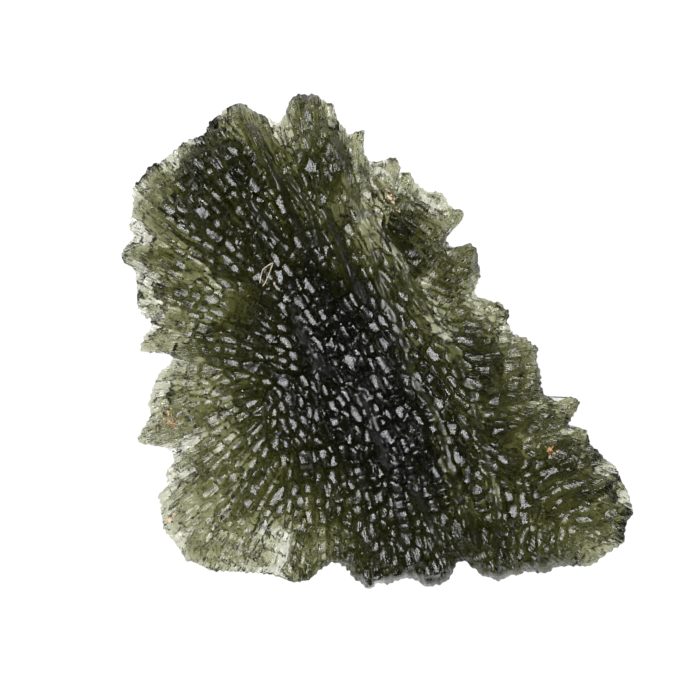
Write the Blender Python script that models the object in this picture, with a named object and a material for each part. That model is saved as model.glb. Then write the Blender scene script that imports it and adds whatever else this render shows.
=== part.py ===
"""Moldavite: one flat, deeply etched piece of olive green natural glass, lying on a small flat spot.

Blender 4.5 script; the mesh is made in metres, +Z up. The outline, the heights and the relief below
are in millimetres, as they would be measured on the stone, seen from above with +Y away from the
viewer. The origin is under the middle of the stone's box, on the surface that it rests on.

The stone is one closed body: an upper face and an underside that meet in a thin, toothed rim. Both
faces are heights over one flat net. The net is a square net of strings, pulled out to the outline.
"""

from functools import lru_cache

import bpy
import numpy as np

MM = 0.001

# Driving dimensions, in millimetres.
STONE_WIDTH = 35.6
STONE_THICKNESS = 9.0
EDGE_THICKNESS = 0.5
LEAST_THICKNESS = 0.6
FULL_RELIEF_THICKNESS = 3.6
RELIEF_FADE = 1.0
REST_LIFT = 0.3
WORN_FADE = 0.4
UNDERSIDE_SLOPE = 1.4
NET_RINGS = 30
SOFT_RIM = 0.017
TEETH_START = 0.45
TEETH_GROWTH = 2.6
RING_GROWTH = 0.9

# Etching: grooves that run out to the rim, rows of cups between them, and steps along the crests.
GROOVE_SPACING = 2.3
GROOVE_DEPTH = 0.9
GROOVE_REACH = 5.0
CUP_SPACING = 1.9
CUP_DEPTH = 0.55
CUP_REACH = 1.0
CREST_STEP = 0.26
CREST_STEP_HALF_WIDTH = 0.5
CREST_STEP_REACH = 2.0
TOOTH_RIDGE_HEIGHT = 0.7
TOOTH_RIDGE_REACH = 3.0
RIDGE_SOFTNESS = 0.3
RELIEF_SEED = 11

# The field on which the flow and the etching are worked out.
FIELD_HALF_WIDTH = 19.0
FIELD_STEP = 0.25

# The outline, counterclockwise in five stretches: every tooth, notch and shoulder.
LEFT_TEETH = [
    (-17.8, 5.9), (-17.6, 5.4), (-17.0, 5.1), (-16.8, 4.7), (-16.7, 3.4), (-16.7, 2.6), (-16.5, 2.1),
    (-16.2, 1.7), (-15.8, 1.5), (-15.7, 1.2), (-15.8, 0.8), (-16.2, 0.4), (-16.3, 0.0), (-16.5, -0.3),
    (-16.5, -0.6), (-16.3, -0.8), (-14.9, -0.8), (-14.4, -1.0), (-14.3, -1.3), (-14.5, -1.7),
    (-15.1, -2.1), (-15.6, -3.1), (-15.9, -4.1), (-16.0, -4.5), (-15.8, -4.9), (-15.9, -5.4),
    (-16.4, -6.2), (-16.7, -6.8), (-16.6, -7.1), (-15.6, -7.3), (-14.9, -7.4), (-14.4, -7.6),
    (-14.2, -8.0), (-14.2, -8.5), (-14.7, -9.1), (-14.6, -10.0), (-14.9, -10.4), (-15.3, -10.8),
    (-15.1, -11.4), (-15.1, -11.9), (-14.9, -13.2), (-14.6, -13.6), (-14.1, -14.2), (-13.6, -15.0),
]
BOTTOM_EDGE = [
    (-13.4, -15.4), (-12.8, -15.5), (-12.0, -15.9), (-11.5, -16.1), (-10.6, -16.1), (-8.2, -16.2),
    (-7.3, -16.3), (-6.4, -16.6), (-5.8, -16.8), (-4.7, -16.6), (-4.1, -16.0), (-3.6, -15.7),
    (-3.1, -15.4), (-2.5, -15.6), (-2.1, -15.9), (-1.6, -16.6), (-1.2, -16.8), (-0.8, -17.2),
    (-0.5, -17.3), (0.0, -16.9), (0.4, -16.9), (0.7, -17.0), (1.1, -16.8), (1.7, -16.6), (2.1, -16.5),
    (2.8, -16.7), (3.2, -17.0), (3.5, -17.1), (4.4, -16.9), (4.9, -16.6), (5.1, -16.3), (5.3, -15.9),
    (5.5, -15.4), (5.8, -15.3), (6.2, -15.3), (6.5, -15.7), (6.9, -15.9), (7.2, -16.3), (7.7, -16.4),
    (8.4, -16.7), (8.9, -16.5), (9.3, -16.3), (9.9, -16.3), (10.2, -16.1), (10.8, -16.1),
    (11.5, -16.2), (12.0, -16.1), (12.4, -15.8), (13.4, -15.7), (14.8, -15.7),
]
LOWER_RIGHT_CORNER = [
    (15.4, -15.3), (15.9, -14.9), (16.5, -14.5), (17.2, -14.0), (17.2, -13.4), (17.4, -12.5),
    (17.8, -12.0), (17.6, -11.2), (17.4, -10.5), (16.9, -9.6), (16.7, -9.0), (16.4, -8.6),
]
RIGHT_TEETH = [
    (15.8, -8.2), (15.4, -7.7), (14.8, -7.2), (14.7, -6.7), (14.5, -6.2), (13.9, -6.0), (13.4, -6.0),
    (13.3, -5.7), (13.7, -5.1), (14.0, -4.6), (14.1, -4.2), (13.5, -3.9), (12.6, -4.2), (12.1, -4.0),
    (11.6, -3.7), (11.4, -3.0), (11.4, -2.3), (11.1, -1.3), (11.2, -0.4), (10.8, -0.3), (10.4, 0.2),
    (9.9, 0.3), (9.4, 0.5), (9.2, 1.0), (9.0, 1.3), (9.2, 2.0), (8.9, 2.2), (8.5, 2.7), (8.0, 2.7),
    (7.6, 2.9), (6.9, 3.1), (6.8, 3.5), (7.0, 4.1), (7.2, 4.7), (7.0, 5.6), (7.0, 6.1), (6.8, 6.5),
    (6.4, 6.8), (5.9, 6.6), (5.3, 6.5), (5.0, 6.6), (4.8, 7.0), (4.8, 7.4), (5.1, 7.8), (5.6, 8.1),
    (6.0, 8.6), (5.9, 9.1), (5.3, 9.2), (4.9, 9.6), (4.8, 9.9), (4.5, 10.3), (4.1, 10.4),
    (3.5, 10.4), (2.9, 10.8), (2.5, 11.2), (2.3, 11.7), (1.8, 11.7), (1.3, 11.6), (1.6, 12.0),
    (1.3, 12.7), (0.9, 12.7), (0.3, 12.5), (-0.1, 12.4), (-0.6, 12.5), (-0.9, 13.0), (-1.0, 13.6),
]
TOP_LOBES = [
    (-0.9, 14.6), (-1.5, 14.5), (-2.0, 14.3), (-2.3, 14.8), (-2.7, 15.2), (-2.9, 15.7),
    (-3.0, 16.3), (-3.2, 16.5), (-3.6, 16.6), (-4.1, 17.0), (-4.5, 17.2), (-4.9, 17.1), (-5.4, 17.2),
    (-5.8, 17.0), (-6.1, 16.7), (-6.3, 16.1), (-6.5, 15.6), (-6.9, 15.1), (-7.3, 15.3), (-7.8, 15.6),
    (-8.7, 16.0), (-9.0, 16.3), (-9.5, 16.5), (-9.9, 16.4), (-10.5, 16.1), (-11.0, 15.6),
    (-11.6, 15.2), (-11.8, 14.7), (-12.0, 14.3), (-12.8, 14.0), (-13.5, 13.7), (-14.4, 12.9),
    (-15.1, 12.4), (-15.6, 12.3), (-16.0, 12.0), (-16.3, 11.5), (-17.0, 10.7), (-17.0, 9.4),
    (-17.2, 8.3), (-17.3, 7.9), (-17.0, 7.5), (-17.0, 7.1), (-17.3, 6.8), (-17.7, 6.3),
]
OUTLINE = LOWER_RIGHT_CORNER + RIGHT_TEETH + TOP_LOBES + LEFT_TEETH + BOTTOM_EDGE

# Soundings: a place on the stone, the heights of the upper face and the underside there, and how
# wide the slope down to the nearest rim is. The stone is thin on the left, and thickest down the
# middle.
SOUNDINGS = [
    (0.2, -4.1, 8.8, 0.0, 1.6), (-3.3, 0.8, 8.6, 0.2, 2.0), (3.0, -9.0, 8.5, 0.2, 1.2),
    (5.8, -4.1, 8.0, 0.5, 1.6), (1.6, 5.7, 7.2, 0.9, 1.6), (-1.9, 9.9, 6.8, 1.1, 1.6),
    (-4.7, 14.1, 5.3, 1.6, 1.6), (-9.6, 14.1, 6.0, 1.4, 1.8), (-8.9, 10.6, 7.8, 0.7, 2.6),
    (-13.8, 9.9, 5.4, 1.4, 2.6), (-15.9, 8.5, 5.0, 1.5, 2.2), (-10.3, 3.6, 5.5, 1.3, 2.6),
    (-14.5, 2.9, 4.4, 1.7, 2.2), (-7.5, 0.1, 6.7, 0.7, 2.2), (-12.4, -2.7, 4.8, 1.4, 2.4),
    (-15.2, -6.2, 3.6, 2.0, 1.8), (-11.0, -8.3, 4.9, 1.3, 2.4), (-6.1, -9.0, 6.3, 0.8, 2.2),
    (-13.1, -12.5, 3.1, 1.9, 1.8), (-8.9, -14.6, 3.8, 1.6, 1.4), (-5.4, -13.9, 4.7, 1.4, 0.9),
    (-0.5, -13.9, 5.9, 0.6, 1.0), (4.4, -13.9, 6.1, 0.6, 1.0), (9.3, -13.9, 5.7, 0.7, 1.0),
    (14.9, -12.5, 4.8, 1.5, 1.4), (16.0, -9.6, 4.6, 1.6, 1.3), (13.2, -5.2, 4.4, 1.7, 1.2),
    (11.4, -8.3, 6.4, 1.0, 1.5), (8.6, -4.1, 5.8, 1.1, 1.4), (8.6, 0.1, 4.5, 1.6, 1.3),
    (5.1, 2.9, 5.4, 1.3, 1.4), (6.2, 5.4, 4.1, 1.8, 1.2), (4.4, 8.5, 4.5, 1.7, 1.2),
    (0.9, 11.3, 4.8, 1.6, 1.6),
]
SOUNDING_REACH = 2.6
RIM_SHARE = 0.54
RIM_WAVE_HEIGHT = 0.35
RIM_WAVES = 9
RIM_CURVE = 1.4
SLOPE_SPREAD = 0.55
MIDDLE_CUP = 0.42

# Thin streaks that run with the flow, where both faces are cut in, and thick knots, which are below
# zero: how much thinner the glass is, half the width, and the points of the middle line. Most of
# each is taken from the underside, but a knot never hangs below the flat spot.
STREAK_SHARE_BELOW = 0.75
LOWEST_KNOT = 0.5
STREAKS = [
    (2.1, 0.7, [(-9.9, 15.2), (-9.0, 13.8), (-8.0, 12.1), (-7.1, 10.5), (-6.0, 9.1)]),
    (1.2, 0.5, [(-6.1, 15.2), (-5.6, 13.8), (-5.4, 11.9)]),
    (1.4, 0.5, [(-2.2, 13.2), (-2.1, 11.3), (-1.8, 8.9)]),
    (2.6, 1.0, [(-0.5, 9.6), (0.4, 8.2), (0.9, 6.4), (1.9, 4.9)]),
    (1.2, 0.7, [(2.0, 9.9), (2.9, 9.1)]),
    (1.8, 0.7, [(3.4, 5.6), (3.7, 3.6), (4.1, 2.1)]),
    (1.4, 0.9, [(8.0, 0.4), (9.0, -0.7), (8.6, -2.1)]),
    (1.2, 0.6, [(6.5, 2.6), (7.1, 1.9)]),
    (1.8, 0.6, [(0.9, 6.4), (2.2, 4.2), (3.5, 2.0), (4.6, 0.4)]),
    (2.5, 0.8, [(4.6, 0.4), (5.8, -2.3), (6.7, -4.1), (7.0, -6.5), (7.8, -9.3), (8.3, -12.2)]),
    (2.6, 0.8, [(-1.0, 8.5), (-0.3, 6.0), (0.2, 4.0), (0.9, 2.2), (1.6, 0.6), (2.0, -1.2)]),
    (3.4, 1.1, [(2.0, -1.2), (2.6, -2.8), (4.2, -5.2), (4.6, -7.0), (5.0, -9.0), (5.7, -11.0)]),
    (1.8, 0.8, [(-3.6, 9.0), (-2.6, 6.5), (-2.0, 4.5)]),
    (1.0, 0.7, [(9.2, -4.1), (9.4, -6.2)]),
    (1.0, 0.6, [(10.2, -7.6), (9.7, -9.6), (9.5, -11.1)]),
    (0.7, 0.8, [(8.6, -12.8), (10.7, -12.6), (12.8, -13.2)]),
    (0.8, 1.0, [(15.0, -13.4), (15.3, -12.6)]),
    (1.3, 0.6, [(-14.2, 12.8), (-13.7, 11.7), (-13.8, 10.3)]),
    (1.3, 0.6, [(-15.5, 10.6), (-15.0, 8.9), (-13.8, 7.2)]),
    (1.2, 0.7, [(-12.8, 6.6), (-11.6, 4.7), (-10.9, 3.3)]),
    (0.8, 0.6, [(-15.9, 4.3), (-14.1, 4.9), (-12.5, 5.0)]),
    (0.9, 0.7, [(-15.0, -2.7), (-13.1, -3.5), (-10.9, -4.1)]),
    (0.8, 0.6, [(-14.3, -5.6), (-12.4, -6.5), (-10.9, -6.1)]),
    (0.9, 0.8, [(-12.7, -11.1), (-12.0, -12.8), (-11.3, -14.2)]),
    (1.0, 1.0, [(-8.0, -14.2), (-7.1, -13.0), (-6.1, -12.4)]),
    (-1.8, 0.8, [(1.4, 7.6), (2.9, 6.3)]),
    (-1.5, 0.7, [(0.8, 5.3), (2.0, 4.1)]),
    (-1.2, 0.6, [(4.4, 6.1), (5.1, 4.0)]),
    (-1.4, 0.8, [(6.2, 0.0), (6.9, -1.2)]),
    (-1.2, 0.8, [(-11.6, 13.6), (-11.0, 12.8), (-10.0, 11.4)]),
    (-1.4, 0.7, [(-12.7, 12.0), (-12.4, 9.9), (-11.9, 8.2)]),
    (-1.8, 1.0, [(-11.3, 7.0), (-9.6, 6.1), (-8.1, 5.7)]),
    (-1.4, 0.6, [(-14.1, -0.9), (-12.4, -0.4), (-9.6, -0.3)]),
    (-1.2, 0.5, [(-17.2, 5.7), (-15.8, 5.9), (-13.6, 5.9)]),
    (-1.0, 0.5, [(-16.6, 3.6), (-14.9, 3.2), (-12.9, 3.1)]),
    (-1.2, 0.5, [(-14.6, -8.4), (-12.9, -8.2), (-10.9, -8.9)]),
    (-1.4, 0.7, [(-3.3, 14.0), (-2.9, 12.2)]),
    (-0.8, 1.2, [(13.2, -8.0), (14.2, -10.6)]),
]

# The flow: places, and the bearing of the grooves there in degrees counterclockwise from +X. The
# grooves fan out from a line that runs down the middle of the stone.
FLOW_GUIDES = [
    (-15.9, 9.9, 133), (-12.4, 13.4, 130), (-9.6, 15.2, 128), (-8.9, 10.6, 130), (-5.4, 15.5, 93),
    (-4.0, 10.6, 108), (-6.8, 6.4, 125), (-13.8, 6.4, 145), (-16.6, 5.7, 165), (-13.8, 2.2, 165),
    (-9.6, 0.1, 155), (-15.9, -0.6, 190), (-12.4, -2.7, 180), (-15.9, -6.2, 200),
    (-10.3, -6.2, 215), (-13.8, -11.1, 222), (-8.9, -9.7, 232), (-10.3, -15.3, 250),
    (-5.4, -15.3, 262), (-5.4, -6.9, 290), (-2.6, -11.1, 272), (1.6, -13.9, 278),
    (4.4, -11.1, 294), (-0.5, 0.8, 303), (1.6, -6.2, 300), (4.4, -2.7, 305), (-3.3, 5.7, 300),
    (-0.5, 7.1, 292), (-1.9, 12.7, 98), (1.6, 10.6, 330), (5.1, 5.7, 345), (7.2, 1.5, 350),
    (9.3, -2.7, 15), (10.7, -6.2, 15), (13.5, -9.0, 20), (16.0, -11.1, 5), (11.4, -13.2, 265),
    (7.9, -9.7, 296),
]
FLOW_REACH = 2.2

# Crests between the rows of cups, where the face steps up to the left of the line.
CRESTS = [
    [(-8.0, 12.8), (-7.3, 11.7), (-6.2, 9.8), (-5.4, 7.7)],
    [(-6.2, 11.2), (-4.6, 8.9), (-4.1, 6.8)],
    [(-3.6, 9.0), (-2.6, 6.5), (-2.0, 4.5), (-1.2, 3.0)],
    [(-2.7, 13.9), (-2.0, 10.8), (-1.0, 8.5), (-0.3, 6.0), (0.2, 4.0), (0.9, 2.2), (1.6, 0.6),
     (2.0, -1.2), (2.6, -2.8), (4.2, -5.2), (4.6, -7.0), (5.0, -9.0), (5.7, -11.0), (6.9, -14.0)],
    [(-0.8, 8.9), (0.8, 6.8), (2.2, 4.2), (3.5, 2.0), (4.6, 0.4), (5.4, -1.0), (5.9, -2.5),
     (6.6, -4.0), (6.9, -6.0), (7.5, -8.0), (8.0, -10.0), (8.3, -12.0), (8.2, -14.2)],
    [(-8.9, 9.6), (-8.2, 8.8), (-7.0, 7.2), (-6.3, 6.2)],
    [(-5.9, 2.2), (-5.2, 0.6), (-4.4, -1.0), (-3.4, -2.2)],
    [(-1.0, -3.6), (-0.5, -5.0), (0.2, -7.0), (0.6, -8.4)],
    [(2.4, -10.0), (3.4, -12.0), (4.4, -14.0)],
]

# Single hollows etched deeper than the rest: place, radius and depth.
HOLLOWS = [
    (-10.3, 2.9, 2.2, 0.9), (-7.1, -13.8, 1.4, 0.7), (10.6, -7.2, 1.4, 0.9), (0.6, 11.0, 1.0, 1.2),
    (3.9, 9.2, 0.9, 0.7), (3.5, 7.0, 0.7, 0.6), (5.6, 1.0, 0.9, 0.7), (-9.3, 8.9, 1.3, 0.6),
]

GLASS_COLOUR = (0.10, 0.11, 0.05, 1.0)
GLASS_ROUGHNESS = 0.25
GLASS_IOR = 1.49
GLASS_CLARITY = 0.6


def clear_scene():
    """Removes every object that is in the scene."""
    for thing in list(bpy.data.objects):
        bpy.data.objects.remove(thing)


def outline_corners():
    """The outline as complex numbers x + iy, centred on its box and brought to the stone's width."""
    corners = np.array([complex(x, y) for x, y in OUTLINE])
    low = complex(corners.real.min(), corners.imag.min())
    high = complex(corners.real.max(), corners.imag.max())
    return (corners - (low + high) / 2) * STONE_WIDTH / (high - low).real


def rim_points(corners, count):
    """count points, evenly spaced along the closed outline; the nearest one moves onto each corner."""
    closed = np.append(corners, corners[0])
    along = np.append(0.0, np.cumsum(np.abs(np.diff(closed))))
    places = np.arange(count) / count * along[-1]
    points = np.interp(places, along, closed.real) + 1j * np.interp(places, along, closed.imag)
    nearest = np.round(along[:-1] / along[-1] * count).astype(int) % count
    points[nearest] = corners
    return points


def smoothed(ring, share):
    """The closed ring with waves shorter than about this share of its length faded out."""
    waves = np.fft.fftfreq(len(ring)) * len(ring)
    return np.fft.ifft(np.fft.fft(ring) * np.exp(-((waves * share) ** 2) / 2 * 4 * np.pi**2))


def square_net(rings):
    """Columns a and rows b of a square net of 2 * rings cells a side, and its cells' four corners.

    Corner (a, b) lies on ring max(|a|, |b|), and its turn, from 0 to 1, is how far round that ring
    it is, from the lower right corner counterclockwise.
    """
    side = np.arange(-rings, rings + 1)
    b, a = (grid.ravel() for grid in np.meshgrid(side, side, indexing="ij"))
    ring = np.maximum(np.abs(a), np.abs(b))
    span = np.maximum(2 * ring, 1)
    on_right = (a == ring) & (b > -ring)
    on_top = (b == ring) & ~on_right
    on_left = (a == -ring) & ~on_top & ~on_right
    turn = np.select(
        [on_right, on_top, on_left],
        [(b + ring) / span, 1 + (ring - a) / span, 2 + (ring - b) / span],
        3 + (a + ring) / span,
    ) / 4 % 1.0
    corner = np.arange(len(a)).reshape(2 * rings + 1, -1)
    cells = np.stack([corner[:-1, :-1], corner[:-1, 1:], corner[1:, 1:], corner[1:, :-1]], axis=-1)
    return ring, turn, cells.reshape(-1, 4)


def round_ring(values, turn):
    """A closed ring of values, read at each turn in a straight line between its two neighbours."""
    place = turn * len(values)
    low = np.floor(place).astype(int) % len(values)
    part = place - np.floor(place)
    return values[low] * (1 - part) + values[(low + 1) % len(values)] * part


def pulled_to_outline(ring, turn, rings, rim):
    """Places of the net: rings that grow from the middle, and take on the rim's teeth as they near it."""
    soft = smoothed(rim, SOFT_RIM)
    middle = soft.mean()
    share = ring / rings
    step = np.round(turn * len(rim)).astype(int) % len(rim)
    on_soft = round_ring(soft, turn)
    on_rim = np.where(ring == rings, rim[step], round_ring(rim, turn))
    toothed = np.clip((share - TEETH_START) / (1 - TEETH_START), 0, 1) ** TEETH_GROWTH
    return middle + share**RING_GROWTH * (on_soft - middle) + toothed * (on_rim - on_soft)


def near_weights(points, places, reach):
    """Weights of each place at each point: bells of this reach, made to sum to one."""
    away = np.abs(points[:, None] - places[None, :]) ** 2
    bells = np.exp(-(away - away.min(axis=1, keepdims=True)) / (2 * reach**2))
    return bells / bells.sum(axis=1, keepdims=True)


def distance_to_line(points, line):
    """Distance of each point from a line of straight stretches between complex points."""
    start, along = line[:-1], np.diff(line)
    offset = points[:, None] - start[None, :]
    part = np.clip((offset * along.conj()).real / np.abs(along) ** 2, 0, 1)
    return np.abs(offset - part * along).min(axis=1)


def beside_line(points, line):
    """How far each point lies to the left of the line's nearest stretch, drawn on past its ends."""
    start, along = line[:-1], np.diff(line)
    offset = points[:, None] - start[None, :]
    turned = offset * along.conj()[None, :] / np.abs(along)
    part = np.clip(turned.real / np.abs(along), 0, 1)
    nearest = np.abs(offset - part * along).argmin(axis=1)
    return turned.imag[np.arange(len(points)), nearest]


def streak_depth(points):
    """How much thinner the streaks make the glass at each point, and below zero how much thicker."""
    depth = np.zeros(len(points))
    for thinner, half_width, line in STREAKS:
        away = distance_to_line(points, np.array([complex(x, y) for x, y in line]))
        depth += thinner * np.exp(-((away / half_width) ** 2))
    return depth


def sounded(points):
    """Upper height, lower height and slope width at the points, with the streaks taken from both."""
    table = np.array(SOUNDINGS)
    weights = near_weights(points, table[:, 0] + 1j * table[:, 1], SOUNDING_REACH)
    top, bottom, slope = (weights @ table[:, 2:]).T
    depth = streak_depth(points)
    raised = bottom + STREAK_SHARE_BELOW * depth
    bottom = np.maximum(raised, np.minimum(bottom, LOWEST_KNOT))
    return top - (1 - STREAK_SHARE_BELOW) * depth, bottom, slope


def flow_field():
    """The field's points, and the doubled bearing of the flow there as a complex number of size one."""
    side = np.arange(-FIELD_HALF_WIDTH, FIELD_HALF_WIDTH, FIELD_STEP)
    points = (side[None, :] + 1j * side[:, None])
    guides = np.array(FLOW_GUIDES)
    weights = near_weights(points.ravel(), guides[:, 0] + 1j * guides[:, 1], FLOW_REACH)
    doubled = weights @ np.exp(2j * np.radians(guides[:, 2]))
    return points, (doubled / np.abs(doubled)).reshape(points.shape)


def read_field(field, points):
    """The field's value at each point, read in a straight line between its four cells."""
    last = len(field) - 1.001
    column = np.clip((points.real + FIELD_HALF_WIDTH) / FIELD_STEP, 0, last)
    row = np.clip((points.imag + FIELD_HALF_WIDTH) / FIELD_STEP, 0, last)
    c, r = column.astype(int), row.astype(int)
    u, v = column - c, row - r
    lower = field[r, c] * (1 - u) + field[r, c + 1] * u
    upper = field[r + 1, c] * (1 - u) + field[r + 1, c + 1] * u
    return lower * (1 - v) + upper * v


def waves_of(spacing, rng, shape):
    """Random waves whose crests and troughs lie about this far apart, of spread one."""
    frequency = np.fft.fftfreq(shape[0], FIELD_STEP)
    size = np.hypot(frequency[None, :], frequency[:, None])
    pitch = 1 / (2 * spacing)
    ring = np.exp(-(((size - pitch) / (0.35 * pitch)) ** 2))
    waves = np.fft.ifft2(np.fft.fft2(rng.standard_normal(shape)) * ring).real
    return waves / waves.std()


def smeared(waves, points, doubled, reach):
    """The waves averaged along the flow, by walking from every point this far up and down it."""
    total = waves.copy()
    heading = np.sqrt(doubled)
    for way in (1, -1):
        place, last = points.copy(), way * heading
        for _ in range(int(reach / FIELD_STEP)):
            turned = np.sqrt(read_field(doubled, place) + 0j)
            turned = np.where((turned * last.conj()).real < 0, -turned, turned)
            turned = turned / np.maximum(np.abs(turned), 1e-9)
            place, last = place + turned * FIELD_STEP, turned
            total = total + read_field(waves, place)
    return total / total.std()


def etched(waves):
    """Cups with narrow ridges between them, from 0 on a ridge to about -1 at the bottom of a cup."""
    return -np.minimum(np.hypot(waves, RIDGE_SOFTNESS) / 1.6, 1.3)


@lru_cache
def relief_fields(seed):
    """The etched grooves and cups of one face, as two fields."""
    rng = np.random.default_rng(seed)
    points, doubled = flow_field()
    grooves = smeared(waves_of(GROOVE_SPACING, rng, points.shape), points, doubled, GROOVE_REACH)
    cups = smeared(waves_of(CUP_SPACING, rng, points.shape), points, doubled, CUP_REACH)
    return etched(grooves), etched(cups)


def face_relief(points, seed):
    """How far the etching goes below the sounded face at each point; it is shallower in thin glass."""
    grooves, cups = relief_fields(seed)
    top, bottom, _ = sounded(points)
    depth = np.clip((top - bottom) / FULL_RELIEF_THICKNESS, 0, 1)
    return depth * (GROOVE_DEPTH * read_field(grooves, points) + CUP_DEPTH * read_field(cups, points))


def crest_step(points):
    """The step that each crest makes in the face, fading out on both sides of the line."""
    step = np.zeros(len(points))
    for crest in CRESTS:
        line = np.array([complex(x, y) for x, y in crest])
        away = distance_to_line(points, line)
        side = np.tanh(beside_line(points, line) / CREST_STEP_HALF_WIDTH)
        step += CREST_STEP * side * np.exp(-((away / CREST_STEP_REACH) ** 2))
    return step


def hollow_depth(points):
    """Depth of the single hollows at each point: bowls with a flat middle."""
    depth = np.zeros(len(points))
    for x, y, radius, deepest in HOLLOWS:
        depth += deepest * np.exp(-((np.abs(points - complex(x, y)) / radius) ** 4))
    return depth


def rim_slope(points, away, width):
    """0 at the rim, rising to 1 where the slope begins, which is nearer to the rim behind a cup."""
    _, cups = relief_fields(RELIEF_SEED)
    uneven = 1 + SLOPE_SPREAD * (read_field(cups, points) + MIDDLE_CUP)
    return 1 - (1 - np.clip(away / (width * uneven), 0, 1)) ** RIM_CURVE


def rim_height(points):
    """Height of the rim's middle: a share of the stone's thickness there, with slow waves round it."""
    top, bottom, _ = sounded(points)
    wave = RIM_WAVE_HEIGHT * np.sin(RIM_WAVES * np.angle(points))
    return bottom + RIM_SHARE * (top - bottom) + wave


def tooth_ridges(rim, turn, away):
    """Ridges behind the teeth and grooves behind the notches, fading towards the middle."""
    soft = smoothed(rim, SOFT_RIM)
    ahead = np.roll(soft, -1) - np.roll(soft, 1)
    sticks_out = ((rim - soft) * (1j * ahead.conj() / np.abs(ahead))).real
    return TOOTH_RIDGE_HEIGHT * round_ring(sticks_out, turn) * np.exp(-((away / TOOTH_RIDGE_REACH) ** 2))


def upper_face(points, away, ridges):
    """Heights of the upper face: soundings, crests and etching, sloping down to the rim."""
    top, _, width = sounded(points)
    body = top + crest_step(points) + ridges - hollow_depth(points)
    rim = rim_height(points) + EDGE_THICKNESS / 2
    etching = face_relief(points, RELIEF_SEED) * np.clip(away / RELIEF_FADE, 0, 1)
    return rim + (body - rim) * rim_slope(points, away, width) + etching


def underside(points, away, ridges):
    """Heights of the underside: etched too, and worn flat where it rests."""
    _, bottom, width = sounded(points)
    worn = bottom - REST_LIFT
    lifted = np.clip(worn / WORN_FADE, 0, 1)
    rim = rim_height(points) - EDGE_THICKNESS / 2
    etching = face_relief(points, RELIEF_SEED + 1) * lifted * np.clip(away / RELIEF_FADE, 0, 1)
    body = worn - ridges * lifted
    slope = rim_slope(points, away, UNDERSIDE_SLOPE * width)
    return np.maximum(rim + (body - rim) * slope - etching, 0.0)


def split_cells(cells, heights):
    """Each cell as two triangles, cut between the two opposite corners that are nearer in height."""
    corner = heights[cells]
    level = np.abs(corner[:, 0] - corner[:, 2]) <= np.abs(corner[:, 1] - corner[:, 3])
    order = np.where(level[:, None], [0, 1, 2, 0, 2, 3], [1, 2, 3, 1, 3, 0])
    return np.take_along_axis(cells, order, axis=1).reshape(-1, 3)


def wall_faces(upper_rim, lower_rim):
    """Triangles between the upper rim and a lower rim with half as many points."""
    count = len(lower_rim)
    first = np.arange(count)
    after = (first + 1) % count
    left, middle, right = upper_rim[2 * first], upper_rim[2 * first + 1], upper_rim[2 * after]
    return np.concatenate([
        np.stack([left, lower_rim[first], middle], axis=1),
        np.stack([middle, lower_rim[first], lower_rim[after]], axis=1),
        np.stack([middle, lower_rim[after], right], axis=1),
    ])


def net_of(rings, rim, closed_rim):
    """Places, distances to the rim and ridges of a net over a rim, its cells, and its rim corners."""
    ring, turn, cells = square_net(rings)
    places = pulled_to_outline(ring, turn, rings, rim)
    away = distance_to_line(places, closed_rim)
    outer = np.flatnonzero(ring == rings)
    return places, away, tooth_ridges(closed_rim[:-1], turn, away), cells, outer[np.argsort(turn[outer])]


def stone_mesh():
    """The whole stone as one closed mesh: the upper net, the underside's coarser net and the wall."""
    rim = rim_points(outline_corners(), 8 * NET_RINGS)
    dense = rim_points(outline_corners(), 16 * NET_RINGS)
    closed_rim = np.append(dense, dense[0])
    upper, away, ridges, upper_cells, upper_rim = net_of(NET_RINGS, rim, closed_rim)
    heights = upper_face(upper, away, ridges)
    lower, away, ridges, lower_cells, lower_rim = net_of(NET_RINGS // 2, rim[::2], closed_rim)
    depths = underside(lower, away, ridges)
    inner = away > EDGE_THICKNESS
    highest = upper_face(lower, away, ridges) - LEAST_THICKNESS
    depths[inner] = np.minimum(depths, highest)[inner]
    points = np.concatenate([
        np.stack([upper.real, upper.imag, heights], axis=1),
        np.stack([lower.real, lower.imag, depths], axis=1),
    ])
    points[:, 2] *= STONE_THICKNESS / heights.max()
    above = split_cells(upper_cells, heights)
    below = split_cells(lower_cells, depths)[:, ::-1] + len(upper)
    wall = wall_faces(upper_rim, lower_rim + len(upper))
    mesh = bpy.data.meshes.new("moldavite")
    faces = above.tolist() + below.tolist() + wall.tolist()
    mesh.from_pydata((points * MM).tolist(), [], faces)
    mesh.validate()
    return mesh


def glass():
    """Olive green natural glass with a dull, etched skin."""
    material = bpy.data.materials.new("moldavite_glass")
    material.use_nodes = True
    shader = material.node_tree.nodes["Principled BSDF"]
    shader.inputs["Base Color"].default_value = GLASS_COLOUR
    shader.inputs["Metallic"].default_value = 0.0
    shader.inputs["Roughness"].default_value = GLASS_ROUGHNESS
    shader.inputs["IOR"].default_value = GLASS_IOR
    shader.inputs["Transmission Weight"].default_value = GLASS_CLARITY
    return material


def main():
    """Builds the one object, moldavite."""
    clear_scene()
    mesh = stone_mesh()
    stone = bpy.data.objects.new("moldavite", mesh)
    bpy.context.scene.collection.objects.link(stone)
    stone.data.materials.append(glass())
    print("moldavite:", len(mesh.vertices), "points,", len(mesh.polygons), "faces")


main()
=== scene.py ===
# %% [markdown]
# A moldavite is a splash of natural glass, thrown out by a meteorite's impact and then etched in the
# ground for millions of years. This lesson gives one of them its finish: the thin toothed rim, the
# grooves that fan out over its face, the rows of small cups between them, and the green glass itself.
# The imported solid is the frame. Everything made here stays where that solid is.

# %% Load the frame
import math

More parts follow.
